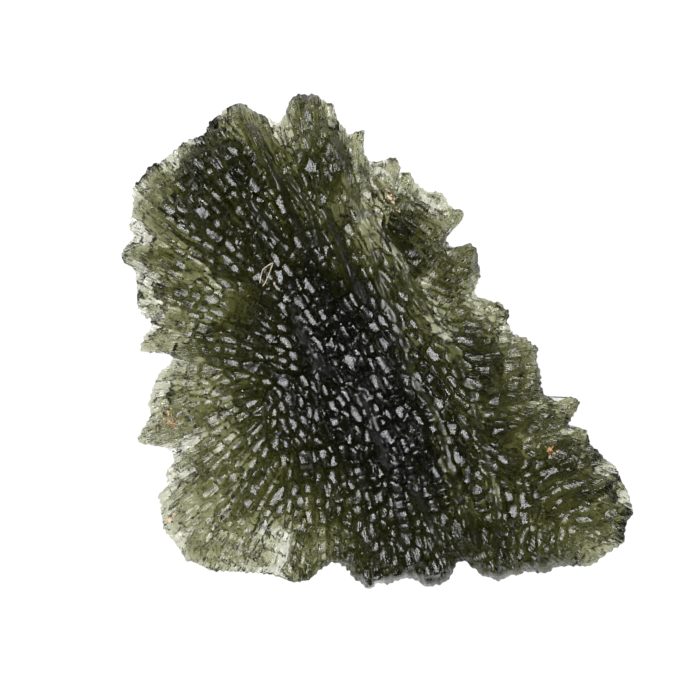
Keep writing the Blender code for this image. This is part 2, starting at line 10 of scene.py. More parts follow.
import bpy
import numpy as np
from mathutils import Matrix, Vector


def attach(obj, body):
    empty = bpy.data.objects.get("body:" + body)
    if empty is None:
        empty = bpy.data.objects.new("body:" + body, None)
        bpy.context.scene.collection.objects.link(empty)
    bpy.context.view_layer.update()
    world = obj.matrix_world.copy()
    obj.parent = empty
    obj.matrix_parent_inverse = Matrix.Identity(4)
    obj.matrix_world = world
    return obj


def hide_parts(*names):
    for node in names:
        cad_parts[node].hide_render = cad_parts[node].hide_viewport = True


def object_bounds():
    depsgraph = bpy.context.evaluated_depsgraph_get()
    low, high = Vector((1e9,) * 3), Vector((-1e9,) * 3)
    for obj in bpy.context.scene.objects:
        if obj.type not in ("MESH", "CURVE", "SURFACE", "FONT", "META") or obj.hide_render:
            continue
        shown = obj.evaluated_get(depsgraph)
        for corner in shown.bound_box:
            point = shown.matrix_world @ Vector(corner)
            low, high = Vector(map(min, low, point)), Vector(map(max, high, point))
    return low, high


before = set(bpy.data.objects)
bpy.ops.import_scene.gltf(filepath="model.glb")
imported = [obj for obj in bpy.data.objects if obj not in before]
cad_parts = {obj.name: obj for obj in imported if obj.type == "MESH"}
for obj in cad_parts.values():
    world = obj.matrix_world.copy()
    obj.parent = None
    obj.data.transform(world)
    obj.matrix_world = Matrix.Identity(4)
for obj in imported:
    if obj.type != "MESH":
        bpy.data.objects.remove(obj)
CAD_LOW, CAD_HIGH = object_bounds()
MM = 0.001
STONE_WIDTH = (CAD_HIGH.x - CAD_LOW.x) / MM
STONE_THICKNESS = CAD_HIGH.z / MM
print("the stone is", round(STONE_WIDTH, 1), "mm wide and", round(STONE_THICKNESS, 1), "mm thick")

# %% [markdown]
# The outline comes first. On the real stone every tooth is what etching left between two notches, so
# no rule gives their places. They are read from the photograph, in millimetres, one point for
# each turn of the edge.

# %% The outline, counterclockwise, in five stretches
LOWER_RIGHT_CORNER = [
    (15.4, -15.3), (15.9, -14.9), (16.5, -14.5), (17.2, -14.0), (17.2, -13.4), (17.4, -12.5),
    (17.8, -12.0), (17.6, -11.2), (17.4, -10.5), (16.9, -9.6), (16.7, -9.0), (16.4, -8.6),
]
RIGHT_TEETH = [
    (15.8, -8.2), (15.4, -7.7), (14.8, -7.2), (14.7, -6.7), (14.5, -6.2), (13.9, -6.0), (13.4, -6.0),
    (13.3, -5.7), (13.7, -5.1), (14.0, -4.6), (14.1, -4.2), (13.5, -3.9), (12.6, -4.2), (12.1, -4.0),
    (11.6, -3.7), (11.4, -3.0), (11.4, -2.3), (11.1, -1.3), (11.2, -0.4), (10.8, -0.3), (10.4, 0.2),
    (9.9, 0.3), (9.4, 0.5), (9.2, 1.0), (9.0, 1.3), (9.2, 2.0), (8.9, 2.2), (8.5, 2.7), (8.0, 2.7),
    (7.6, 2.9), (6.9, 3.1), (6.8, 3.5), (7.0, 4.1), (7.2, 4.7), (7.0, 5.6), (7.0, 6.1), (6.8, 6.5),
    (6.4, 6.8), (5.9, 6.6), (5.3, 6.5), (5.0, 6.6), (4.8, 7.0), (4.8, 7.4), (5.1, 7.8), (5.6, 8.1),
    (6.0, 8.6), (5.9, 9.1), (5.3, 9.2), (4.9, 9.6), (4.8, 9.9), (4.5, 10.3), (4.1, 10.4),
    (3.5, 10.4), (2.9, 10.8), (2.5, 11.2), (2.3, 11.7), (1.8, 11.7), (1.3, 11.6), (1.6, 12.0),
    (1.3, 12.7), (0.9, 12.7), (0.3, 12.5), (-0.1, 12.4), (-0.6, 12.5), (-0.9, 13.0), (-1.0, 13.6),
]
TOP_LOBES = [
    (-0.9, 14.6), (-1.5, 14.5), (-2.0, 14.3), (-2.3, 14.8), (-2.7, 15.2), (-2.9, 15.7),
    (-3.0, 16.3), (-3.2, 16.5), (-3.6, 16.6), (-4.1, 17.0), (-4.5, 17.2), (-4.9, 17.1), (-5.4, 17.2),
    (-5.8, 17.0), (-6.1, 16.7), (-6.3, 16.1), (-6.5, 15.6), (-6.9, 15.1), (-7.3, 15.3), (-7.8, 15.6),
    (-8.7, 16.0), (-9.0, 16.3), (-9.5, 16.5), (-9.9, 16.4), (-10.5, 16.1), (-11.0, 15.6),
    (-11.6, 15.2), (-11.8, 14.7), (-12.0, 14.3), (-12.8, 14.0), (-13.5, 13.7), (-14.4, 12.9),
    (-15.1, 12.4), (-15.6, 12.3), (-16.0, 12.0), (-16.3, 11.5), (-17.0, 10.7), (-17.0, 9.4),
    (-17.2, 8.3), (-17.3, 7.9), (-17.0, 7.5), (-17.0, 7.1), (-17.3, 6.8), (-17.7, 6.3),
]
LEFT_TEETH = [
    (-17.8, 5.9), (-17.6, 5.4), (-17.0, 5.1), (-16.8, 4.7), (-16.7, 3.4), (-16.7, 2.6), (-16.5, 2.1),
    (-16.2, 1.7), (-15.8, 1.5), (-15.7, 1.2), (-15.8, 0.8), (-16.2, 0.4), (-16.3, 0.0), (-16.5, -0.3),
    (-16.5, -0.6), (-16.3, -0.8), (-14.9, -0.8), (-14.4, -1.0), (-14.3, -1.3), (-14.5, -1.7),
    (-15.1, -2.1), (-15.6, -3.1), (-15.9, -4.1), (-16.0, -4.5), (-15.8, -4.9), (-15.9, -5.4),
    (-16.4, -6.2), (-16.7, -6.8), (-16.6, -7.1), (-15.6, -7.3), (-14.9, -7.4), (-14.4, -7.6),
    (-14.2, -8.0), (-14.2, -8.5), (-14.7, -9.1), (-14.6, -10.0), (-14.9, -10.4), (-15.3, -10.8),
    (-15.1, -11.4), (-15.1, -11.9), (-14.9, -13.2), (-14.6, -13.6), (-14.1, -14.2), (-13.6, -15.0),
]
BOTTOM_EDGE = [
    (-13.4, -15.4), (-12.8, -15.5), (-12.0, -15.9), (-11.5, -16.1), (-10.6, -16.1), (-8.2, -16.2),
    (-7.3, -16.3), (-6.4, -16.6), (-5.8, -16.8), (-4.7, -16.6), (-4.1, -16.0), (-3.6, -15.7),
    (-3.1, -15.4), (-2.5, -15.6), (-2.1, -15.9), (-1.6, -16.6), (-1.2, -16.8), (-0.8, -17.2),
    (-0.5, -17.3), (0.0, -16.9), (0.4, -16.9), (0.7, -17.0), (1.1, -16.8), (1.7, -16.6), (2.1, -16.5),
    (2.8, -16.7), (3.2, -17.0), (3.5, -17.1), (4.4, -16.9), (4.9, -16.6), (5.1, -16.3), (5.3, -15.9),
    (5.5, -15.4), (5.8, -15.3), (6.2, -15.3), (6.5, -15.7), (6.9, -15.9), (7.2, -16.3), (7.7, -16.4),
    (8.4, -16.7), (8.9, -16.5), (9.3, -16.3), (9.9, -16.3), (10.2, -16.1), (10.8, -16.1),
    (11.5, -16.2), (12.0, -16.1), (12.4, -15.8), (13.4, -15.7), (14.8, -15.7),
]
OUTLINE = LOWER_RIGHT_CORNER + RIGHT_TEETH + TOP_LOBES + LEFT_TEETH + BOTTOM_EDGE
print("the outline has", len(OUTLINE), "points")

# %% [markdown]
# Points joined by straight lines would look cut with scissors. The stone's notches are curved and its
# tips are sharp, so the edge is drawn part as a curve and part as straight lines. Chips too fine to
# read are a seeded noise that moves the edge in and out by a few hundredths of a millimetre: without
# them it would look moulded.

# %% From points to a chipped edge
CURVE_STEPS = 8
CURVE_SHARE = 0.6
CHIP_SIZE = 0.035
CHIP_WAVES = (150, 420)
CHIP_SEED = 5


def places_of(rows):
    """The x and y that start each row, as one complex number x + iy."""
    table = np.array([row[:2] for row in rows])
    return table[:, 0] + 1j * table[:, 1]


def fitted(line):
    """The line centred on its own box and brought to the frame's width."""
    low = complex(line.real.min(), line.imag.min())
    high = complex(line.real.max(), line.imag.max())
    return (line - (low + high) / 2) * STONE_WIDTH / (high - low).real


def curve_through(corners):
    """A closed curve through the corners: part straight lines, part cubics with neighbours' slopes."""
    t = (np.arange(CURVE_STEPS) / CURVE_STEPS)[None, :]
    before, start = np.roll(corners, 1)[:, None], corners[:, None]
    end, after = np.roll(corners, -1)[:, None], np.roll(corners, -2)[:, None]
    straight = start + (end - start) * t
    bent = start + 0.5 * t * (
        end - before + t * (2 * before - 5 * start + 4 * end - after
                            + t * (3 * (start - end) + after - before))
    )
    return (CURVE_SHARE * bent + (1 - CURVE_SHARE) * straight).ravel()


def evenly_spaced(line, count):
    """count points at even steps along a closed line."""
    closed = np.append(line, line[0])
    along = np.append(0.0, np.cumsum(np.abs(np.diff(closed))))
    places = np.arange(count) / count * along[-1]
    return np.interp(places, along, closed.real) + 1j * np.interp(places, along, closed.imag)


def bell(away, reach, power=2):
    """1 at no distance, and nearly 0 past twice the reach: exp(-(away / reach) ** power)."""
    return np.exp(-((away / reach) ** power))


def ring_noise(count, waves, seed):
    """Smooth noise round a closed ring, of spread one, made of whole waves between the two numbers."""
    rng = np.random.default_rng(seed)
    number = np.abs(np.fft.fftfreq(count) * count)
    kept = bell(number - sum(waves) / 2, (waves[1] - waves[0]) / 2)
    noise = np.fft.ifft(np.fft.fft(rng.standard_normal(count)) * kept).real
    return noise / noise.std()


def outward(ring):
    """The unit normal that points out of a closed counterclockwise ring, at each of its points."""
    ahead = np.roll(ring, -1) - np.roll(ring, 1)
    return -1j * ahead / np.abs(ahead)


def chipped_edge(count):
    """The finished edge as count points: the curve, pushed in and out by small seeded chips."""
    edge = evenly_spaced(curve_through(fitted(places_of(OUTLINE))), count)
    return fitted(edge + outward(edge) * CHIP_SIZE * ring_noise(count, CHIP_WAVES, CHIP_SEED))


NET_RINGS = 136
CORNERS_PER_RING = 8
EDGE = chipped_edge(CORNERS_PER_RING * NET_RINGS)
CLOSED_EDGE = np.append(EDGE, EDGE[0])
EDGE_LENGTH = float(np.abs(np.diff(EDGE)).sum())
print("the edge is", round(EDGE_LENGTH, 1), "mm long, in", len(EDGE), "points")

# %% [markdown]
# Both faces of the stone are heights over one flat net, so the net has to reach into every tooth and
# still be even in the middle. A square net pulled out to the outline does that: its outermost ring
# takes on the teeth, the rings inside it less and less of them, and there is no pole in the middle. A
# grid of straight rows would leave stairs along the rim.

# %% A square net pulled out to the edge
SOFT_EDGE = 0.017
TEETH_START = 0.45
TEETH_GROWTH = 2.6
RING_GROWTH = 0.95


def smoothed(ring, share):
    """The closed ring with waves shorter than about this share of its length faded out."""
    waves = np.fft.fftfreq(len(ring)) * len(ring)
    return np.fft.ifft(np.fft.fft(ring) * np.exp(-((waves * share) ** 2) * 2 * np.pi**2))


def square_net(rings):
    """The net's ring numbers, how far round its ring each corner is from 0 to 1, and its cells."""
    side = np.arange(-rings, rings + 1)
    b, a = (grid.ravel() for grid in np.meshgrid(side, side, indexing="ij"))
    ring = np.maximum(np.abs(a), np.abs(b))
    span = np.maximum(2 * ring, 1)
    on_right = (a == ring) & (b > -ring)
    on_top = (b == ring) & ~on_right
    on_left = (a == -ring) & ~on_top & ~on_right
    turn = np.select(
        [on_right, on_top, on_left],
        [(b + ring) / span, 1 + (ring - a) / span, 2 + (ring - b) / span],
        3 + (a + ring) / span,
    ) / 4 % 1.0
    corner = np.arange(len(a)).reshape(2 * rings + 1, -1)
    cells = np.stack([corner[:-1, :-1], corner[:-1, 1:], corner[1:, 1:], corner[1:, :-1]], axis=-1)
    return ring, turn, cells.reshape(-1, 4)


def round_ring(values, turn):
    """A closed ring of values, read at each turn in a straight line between its two neighbours."""
    place = turn * len(values)
    low = np.floor(place).astype(int) % len(values)
    part = place - np.floor(place)
    return values[low] * (1 - part) + values[(low + 1) % len(values)] * part


def pulled_to_edge(ring, turn, rings, edge):
    """Places of the net: rings that grow from the middle, and take on the teeth as they near the edge."""
    soft = smoothed(edge, SOFT_EDGE)
    middle = soft.mean()
    share = ring / rings
    on_soft, on_edge = round_ring(soft, turn), round_ring(edge, turn)
    toothed = np.clip((share - TEETH_START) / (1 - TEETH_START), 0, 1) ** TEETH_GROWTH
    return middle + share**RING_GROWTH * (on_soft - middle) + toothed * (on_edge - on_soft)


def least_cell(places, cells):
    """Smallest area of any cell, by the cross product of its diagonals: below zero it is folded."""
    corner = places[cells]
    first, second = corner[:, 2] - corner[:, 0], corner[:, 3] - corner[:, 1]
    return float((first.conj() * second).imag.min() / 2)


ring, turn, cells = square_net(NET_RINGS)
places = pulled_to_edge(ring, turn, NET_RINGS, EDGE)
print("the net has", len(cells), "cells; the smallest is", round(least_cell(places, cells), 5), "mm2")

# %% [markdown]
# Next the body: how high the upper face and the underside are, without their etching. The stone is
# thin and see-through on the left, and so thick down the middle that it is nearly black. A list of
# soundings says so, as on a sea chart, and bell-shaped weights blend between them.

# %% Soundings of both faces: x, y, upper height, lower height and width of the slope to the rim
SOUNDINGS = [
    (0.2, -4.1, 8.8, 0.0, 1.6), (-3.3, 0.8, 8.6, 0.2, 2.0), (3.0, -9.0, 8.5, 0.2, 1.2),
    (5.8, -4.1, 8.0, 0.5, 1.6), (1.6, 5.7, 7.2, 0.9, 1.6), (-1.9, 9.9, 6.8, 1.1, 1.6),
    (-4.7, 14.1, 5.3, 1.6, 1.6), (-9.6, 14.1, 6.0, 1.4, 1.8), (-8.9, 10.6, 7.8, 0.7, 2.6),
    (-13.8, 9.9, 5.4, 1.4, 2.6), (-15.9, 8.5, 5.0, 1.5, 2.2), (-10.3, 3.6, 5.5, 1.3, 2.6),
    (-14.5, 2.9, 4.4, 1.7, 2.2), (-7.5, 0.1, 6.7, 0.7, 2.2), (-12.4, -2.7, 4.8, 1.4, 2.4),
    (-15.2, -6.2, 3.6, 2.0, 1.8), (-11.0, -8.3, 4.9, 1.3, 2.4), (-6.1, -9.0, 6.3, 0.8, 2.2),
    (-13.1, -12.5, 3.1, 1.9, 1.8), (-8.9, -14.6, 3.8, 1.6, 1.4), (-5.4, -13.9, 4.7, 1.4, 0.9),
    (-0.5, -13.9, 5.9, 0.6, 1.0), (4.4, -13.9, 6.1, 0.6, 1.0), (9.3, -13.9, 5.7, 0.7, 1.0),
    (14.9, -12.5, 4.8, 1.5, 1.4), (16.0, -9.6, 4.6, 1.6, 1.3), (13.2, -5.2, 4.4, 1.7, 1.2),
    (11.4, -8.3, 6.4, 1.0, 1.5), (8.6, -4.1, 5.8, 1.1, 1.4), (8.6, 0.1, 4.5, 1.6, 1.3),
    (5.1, 2.9, 5.4, 1.3, 1.4), (6.2, 5.4, 4.1, 1.8, 1.2), (4.4, 8.5, 4.5, 1.7, 1.2),
    (0.9, 11.3, 4.8, 1.6, 1.6),
]
SOUNDING_REACH = 2.6
POINTS_AT_ONCE = 4000


def near_weights(points, places, reach):
    """Weights of each place at each point: bells of this reach, made to sum to one."""
    away = np.abs(points[:, None] - places[None, :]) ** 2
    bells = np.exp(-(away - away.min(axis=1, keepdims=True)) / (2 * reach**2))
    return bells / bells.sum(axis=1, keepdims=True)


def in_pieces(points):
    """The points a few thousand at a time, so that a table of all against all stays small."""
    return np.array_split(points, len(points) // POINTS_AT_ONCE + 1)


def distance_to_line(points, line):
    """Distance of each point from a line of straight stretches."""
    start, along = line[:-1], np.diff(line)

    def near(some):
        offset = some[:, None] - start[None, :]
        part = np.clip((offset * along.conj()).real / np.abs(along) ** 2, 0, 1)
        return np.abs(offset - part * along).min(axis=1)

    return np.concatenate([near(some) for some in in_pieces(points)])


def plain_soundings(points):
    """Upper height, lower height and rim slope width at the points, blended between the soundings."""
    weights = near_weights(points, places_of(SOUNDINGS), SOUNDING_REACH)
    return (weights @ np.array(SOUNDINGS)[:, 2:]).T


print("in the middle the faces are at", np.round(plain_soundings(np.array([0j]))[:2], 1).ravel(), "mm")

# %% [markdown]
# Held against the light, the stone is streaked: pale bands where both faces are cut in along the same
# line, and dark knots where it is left thick. They are forms, not colours, because the glass has the
# same colour all through. Each streak is a line, with how much thinner the glass is along it.

# %% Thin streaks and thick knots: how much thinner, half width and line
STREAK_SHARE_BELOW = 0.75
LOWEST_KNOT = 0.5
STREAKS = [
    (2.1, 0.7, [(-9.9, 15.2), (-9.0, 13.8), (-8.0, 12.1), (-7.1, 10.5), (-6.0, 9.1)]),
    (1.2, 0.5, [(-6.1, 15.2), (-5.6, 13.8), (-5.4, 11.9)]),
    (1.4, 0.5, [(-2.2, 13.2), (-2.1, 11.3), (-1.8, 8.9)]),
    (2.6, 1.0, [(-0.5, 9.6), (0.4, 8.2), (0.9, 6.4), (1.9, 4.9)]),
    (1.2, 0.7, [(2.0, 9.9), (2.9, 9.1)]),
    (1.8, 0.7, [(3.4, 5.6), (3.7, 3.6), (4.1, 2.1)]),
    (1.4, 0.9, [(8.0, 0.4), (9.0, -0.7), (8.6, -2.1)]),
    (1.2, 0.6, [(6.5, 2.6), (7.1, 1.9)]),
    (1.8, 0.6, [(0.9, 6.4), (2.2, 4.2), (3.5, 2.0), (4.6, 0.4)]),
    (2.5, 0.8, [(4.6, 0.4), (5.8, -2.3), (6.7, -4.1), (7.0, -6.5), (7.8, -9.3), (8.3, -12.2)]),
    (2.6, 0.8, [(-1.0, 8.5), (-0.3, 6.0), (0.2, 4.0), (0.9, 2.2), (1.6, 0.6), (2.0, -1.2)]),
    (3.4, 1.1, [(2.0, -1.2), (2.6, -2.8), (4.2, -5.2), (4.6, -7.0), (5.0, -9.0), (5.7, -11.0)]),
    (1.8, 0.8, [(-3.6, 9.0), (-2.6, 6.5), (-2.0, 4.5)]),
    (1.0, 0.7, [(9.2, -4.1), (9.4, -6.2)]),
    (1.0, 0.6, [(10.2, -7.6), (9.7, -9.6), (9.5, -11.1)]),
    (0.7, 0.8, [(8.6, -12.8), (10.7, -12.6), (12.8, -13.2)]),
    (0.8, 1.0, [(15.0, -13.4), (15.3, -12.6)]),
    (1.3, 0.6, [(-14.2, 12.8), (-13.7, 11.7), (-13.8, 10.3)]),
    (1.3, 0.6, [(-15.5, 10.6), (-15.0, 8.9), (-13.8, 7.2)]),
    (1.2, 0.7, [(-12.8, 6.6), (-11.6, 4.7), (-10.9, 3.3)]),
    (0.8, 0.6, [(-15.9, 4.3), (-14.1, 4.9), (-12.5, 5.0)]),
    (0.9, 0.7, [(-15.0, -2.7), (-13.1, -3.5), (-10.9, -4.1)]),
    (0.8, 0.6, [(-14.3, -5.6), (-12.4, -6.5), (-10.9, -6.1)]),
    (0.9, 0.8, [(-12.7, -11.1), (-12.0, -12.8), (-11.3, -14.2)]),
    (1.0, 1.0, [(-8.0, -14.2), (-7.1, -13.0), (-6.1, -12.4)]),
    (-1.8, 0.8, [(1.4, 7.6), (2.9, 6.3)]),
    (-1.5, 0.7, [(0.8, 5.3), (2.0, 4.1)]),
    (-1.2, 0.6, [(4.4, 6.1), (5.1, 4.0)]),
    (-1.4, 0.8, [(6.2, 0.0), (6.9, -1.2)]),
    (-1.2, 0.8, [(-11.6, 13.6), (-11.0, 12.8), (-10.0, 11.4)]),
    (-1.4, 0.7, [(-12.7, 12.0), (-12.4, 9.9), (-11.9, 8.2)]),
    (-1.8, 1.0, [(-11.3, 7.0), (-9.6, 6.1), (-8.1, 5.7)]),
    (-1.4, 0.6, [(-14.1, -0.9), (-12.4, -0.4), (-9.6, -0.3)]),
    (-1.2, 0.5, [(-17.2, 5.7), (-15.8, 5.9), (-13.6, 5.9)]),
    (-1.0, 0.5, [(-16.6, 3.6), (-14.9, 3.2), (-12.9, 3.1)]),
    (-1.2, 0.5, [(-14.6, -8.4), (-12.9, -8.2), (-10.9, -8.9)]),
    (-1.4, 0.7, [(-3.3, 14.0), (-2.9, 12.2)]),
    (-0.8, 1.2, [(13.2, -8.0), (14.2, -10.6)]),
]


def streak_depth(points):
    """How much thinner the streaks make the glass at each point, and below zero how much thicker."""
    depth = np.zeros(len(points))
    for thinner, half_width, line in STREAKS:
        depth += thinner * bell(distance_to_line(points, places_of(line)), half_width)
    return depth


def sounded(points):
    """Upper height, lower height and rim slope width, with the streaks taken from both faces."""
    top, bottom, slope = plain_soundings(points)
    depth = streak_depth(points)
    raised = bottom + STREAK_SHARE_BELOW * depth
    bottom = np.maximum(raised, np.minimum(bottom, LOWEST_KNOT))
    return top - (1 - STREAK_SHARE_BELOW) * depth, bottom, slope


upper, lower, _ = sounded(np.array([7.1 - 6.5j, 11.4 - 8.3j]))
print("on a thin streak the glass is", round(float(upper[0] - lower[0]), 1), "mm thick, beside it",
      round(float(upper[1] - lower[1]), 1), "mm")

# %% [markdown]
# Then the flow. While it flew, the melt was drawn out in streaks, and water etches glass fastest
# along them, so all the sculpture follows one field of directions. A line has no front end, so the
# bearings are blended as doubled angles: 10 and 190 degrees are then the same line.

# %% The flow of the glass: x, y and bearing in degrees
FIELD_HALF_WIDTH = 19.0
FIELD_STEP = 0.25
FINE_SHARE = 4
FLOW_GUIDES = [
    (-15.9, 9.9, 133), (-12.4, 13.4, 130), (-9.6, 15.2, 128), (-8.9, 10.6, 130), (-5.4, 15.5, 93),
    (-4.0, 10.6, 108), (-6.8, 6.4, 125), (-13.8, 6.4, 145), (-16.6, 5.7, 165), (-13.8, 2.2, 165),
    (-9.6, 0.1, 155), (-15.9, -0.6, 190), (-12.4, -2.7, 180), (-15.9, -6.2, 200),
    (-10.3, -6.2, 215), (-13.8, -11.1, 222), (-8.9, -9.7, 232), (-10.3, -15.3, 250),
    (-5.4, -15.3, 262), (-5.4, -6.9, 290), (-2.6, -11.1, 272), (1.6, -13.9, 278),
    (4.4, -11.1, 294), (-0.5, 0.8, 303), (1.6, -6.2, 300), (4.4, -2.7, 305), (-3.3, 5.7, 300),
    (-0.5, 7.1, 292), (-1.9, 12.7, 98), (1.6, 10.6, 330), (5.1, 5.7, 345), (7.2, 1.5, 350),
    (9.3, -2.7, 15), (10.7, -6.2, 15), (13.5, -9.0, 20), (16.0, -11.1, 5), (11.4, -13.2, 265),
    (7.9, -9.7, 296),
]
FLOW_REACH = 2.2
JUST_OVER_ONE = 1.001


def flow_field(step):
    """A square field of points, and the doubled flow bearing there as a complex number of size one."""
    side = np.arange(-FIELD_HALF_WIDTH, FIELD_HALF_WIDTH, step)
    points = side[None, :] + 1j * side[:, None]
    weights = near_weights(points.ravel(), places_of(FLOW_GUIDES), FLOW_REACH)
    doubled = weights @ np.exp(2j * np.radians(np.array(FLOW_GUIDES)[:, 2]))
    return points, (doubled / np.abs(doubled)).reshape(points.shape)


def read_field(field, points):
    """The field's value at each point, in straight lines between the four cells round it."""
    step = 2 * FIELD_HALF_WIDTH / len(field)
    last = len(field) - JUST_OVER_ONE
    column = np.clip((points.real + FIELD_HALF_WIDTH) / step, 0, last)
    row = np.clip((points.imag + FIELD_HALF_WIDTH) / step, 0, last)
    c, r = column.astype(int), row.astype(int)
    u, v = column - c, row - r
    lower = field[r, c] * (1 - u) + field[r, c + 1] * u
    upper = field[r + 1, c] * (1 - u) + field[r + 1, c + 1] * u
    return lower * (1 - v) + upper * v


coarse_points, coarse_flow = flow_field(FIELD_STEP)
print("the flow is worked out on", coarse_flow.size, "points")

# %% [markdown]
# The etching is noise, drawn out along the flow. Random waves of one spacing are averaged along each
# flow line, which turns round bumps into streaks. Etched glass has cups with narrow ridges between
# them, and the size of a wave without its sign has just that shape: its zero lines become ridges. The
# same trick makes the long grooves that run to the rim and the wide cups between them.

# %% Grooves and cups
RIDGE_SOFTNESS = 0.12
CUP_WAVE_HEIGHT = 1.6
DEEPEST_CUP = 1.3
SPACING_SPREAD = 0.35
GROOVE_SPACING = 2.3
GROOVE_REACH = 5.0
CUP_SPACING = 1.9
CUP_REACH = 1.0
TINY = 1e-9


def waves_of(spacing, step, rng, shape):
    """Random waves whose crests and troughs lie about this far apart, of spread one."""
    frequency = np.fft.fftfreq(shape[0], step)
    size = np.hypot(frequency[None, :], frequency[:, None])
    pitch = 1 / (2 * spacing)
    band = bell(size - pitch, SPACING_SPREAD * pitch)
    waves = np.fft.ifft2(np.fft.fft2(rng.standard_normal(shape)) * band).real
    return waves / waves.std()


def smeared(waves, points, doubled, reach):
    """The waves averaged along the flow, by walking from every point this far up and down it."""
    step = 2 * FIELD_HALF_WIDTH / len(waves)
    total = waves.copy()
    heading = np.sqrt(doubled)
    for way in (1, -1):
        place, last = points.copy(), way * heading
        for _ in range(int(reach / step)):
            turned = np.sqrt(read_field(doubled, place) + 0j)
            turned = np.where((turned * last.conj()).real < 0, -turned, turned)
            turned = turned / np.maximum(np.abs(turned), TINY)
            place, last = place + turned * step, turned
            total = total + read_field(waves, place)
    return total / total.std()


def finer(field, share):
    """The field on a net this many times as fine, by adding no wave that it doesn't already have."""
    count = len(field)
    waves = np.fft.fftshift(np.fft.fft2(field))
    padding = (share - 1) * count // 2
    return np.fft.ifft2(np.fft.ifftshift(np.pad(waves, padding))).real * share**2


def etched(waves):
    """Cups with narrow ridges between them, from 0 on a ridge to about -1 at the bottom of a cup."""
    return -np.minimum(np.hypot(waves, RIDGE_SOFTNESS) / CUP_WAVE_HEIGHT, DEEPEST_CUP)


def etching(seed):
    """Grooves and cups of one face, as two fine fields. The seed sets their places."""
    rng = np.random.default_rng(seed)
    shape = coarse_points.shape
    wide = waves_of(GROOVE_SPACING, FIELD_STEP, rng, shape)
    groove = smeared(wide, coarse_points, coarse_flow, GROOVE_REACH)
    narrow = waves_of(CUP_SPACING, FIELD_STEP, rng, shape)
    cup = smeared(narrow, coarse_points, coarse_flow, CUP_REACH)
    return etched(finer(groove, FINE_SHARE)), etched(finer(cup, FINE_SHARE))


RELIEF_SEED = 11
UPPER_ETCHING = etching(RELIEF_SEED)
LOWER_ETCHING = etching(RELIEF_SEED + 1)
print("half of the groove field lies below", round(float(np.median(UPPER_ETCHING[0])), 2))

# %% [markdown]
# The finest cups are the ones that catch the light: each has a nearly level floor, so rows of small
# bright dashes run over the dark glass. Noise gives them sloping floors that stay dark. So each cup
# has a seed of its own. The melt's streaks decide where cups can start, so the seeds are set out by
# walking along the flow, one cup's length at a time, and a row ends where it would crowd another. In
# some patches, given by x, y and radius, the floors lean along the flow and so stay dark.

# %% Seeds of the finest cups
GRAIN_LENGTH = 1.0
GRAIN_WIDTH = 0.62
GRAIN_STEPS = (0.7, 1.5)
GRAIN_JITTER = 0.09
GRAIN_SIZES = (0.72, 1.28)
GRAIN_TILT = 0.2
ROW_STARTS = 9000
SHADED_TILT = 0.6
SHADED = [
    (-1.3, -2.3, 1.0), (-1.6, 1.4, 0.9), (-3.6, 3.0, 1.1), (1.4, -3.8, 0.9), (5.1, -4.6, 0.9),
    (4.6, -10.6, 1.4), (0.0, -7.6, 1.0), (3.2, -7.8, 1.1), (-2.5, -11.0, 0.7), (3.6, 0.0, 0.9),
    (-8.8, 6.4, 1.2), (-6.2, 6.8, 1.3), (-9.0, 12.2, 1.2), (-4.2, 4.8, 0.8), (-6.0, 12.5, 0.8),
    (-0.4, -9.6, 0.8), (2.0, -11.6, 0.8), (-2.0, -6.0, 0.7), (-4.6, -1.0, 0.8), (1.2, 3.4, 0.7),
    (13.6, -8.6, 1.2), (11.0, -11.6, 0.9), (14.8, -11.0, 0.8), (-9.8, 7.9, 0.9), (1.6, -9.7, 0.9),
    (-1.3, 6.7, 0.9), (-0.8, 9.9, 1.0), (-2.7, 9.1, 0.8), (5.0, 2.0, 0.8), (6.9, -11.7, 0.9),
    (14.6, -13.5, 0.9),
]
SHADED_POWER = 4
MOST_GRAINS = 6000
FAR_AWAY = 1e3 + 0j
CROWDED = 0.86
GRAIN_SEED = 21


def flow_at(points):
    """The flow at each point, as a complex number of size one."""
    doubled = read_field(coarse_flow, points)
    return np.sqrt(doubled / np.abs(doubled))


def grain_seeds(seed):
    """Rows of seeds. Each row starts at a random place that is free, and is walked both ways along the
    flow, in steps of about one cup's length, until the next seed would be too near another one.
    """
    rng = np.random.default_rng(seed)
    places, count = np.full(MOST_GRAINS, FAR_AWAY), 0
    starts = rng.uniform(-FIELD_HALF_WIDTH, FIELD_HALF_WIDTH, (ROW_STARTS, 2)) @ np.array([1, 1j])
    for start in starts:
        for way in (1, -1):
            heading = way * flow_at(np.array([start]))[0]
            place = start if way == 1 else start + heading * GRAIN_LENGTH
            while max(abs(place.real), abs(place.imag)) < FIELD_HALF_WIDTH and count < MOST_GRAINS:
                offset = (places[:count] - place) * heading.conjugate()
                away = np.hypot(offset.real / GRAIN_LENGTH, offset.imag / GRAIN_WIDTH)
                if (away < CROWDED).any():
                    break
                places[count], count = place, count + 1
                turned = flow_at(np.array([place]))[0]
                heading = turned if (turned * heading.conjugate()).real > 0 else -turned
                sideways = 1j * heading * rng.normal(0.0, GRAIN_JITTER)
                place = place + heading * GRAIN_LENGTH * rng.uniform(*GRAIN_STEPS) + sideways
    places = places[:count]
    flow = flow_at(places)
    tilt = rng.normal(0.0, GRAIN_TILT, (count, 2)) @ np.array([1, 1j])
    for x, y, radius in SHADED:
        tilt += SHADED_TILT * flow * bell(np.abs(places - complex(x, y)), radius, SHADED_POWER)
    return places, flow, rng.uniform(*GRAIN_SIZES, count), tilt


UPPER_GRAINS = grain_seeds(GRAIN_SEED)
LOWER_GRAINS = grain_seeds(GRAIN_SEED + 1)
print("the two faces have", len(UPPER_GRAINS[0]), "and", len(LOWER_GRAINS[0]), "of the finest cups")

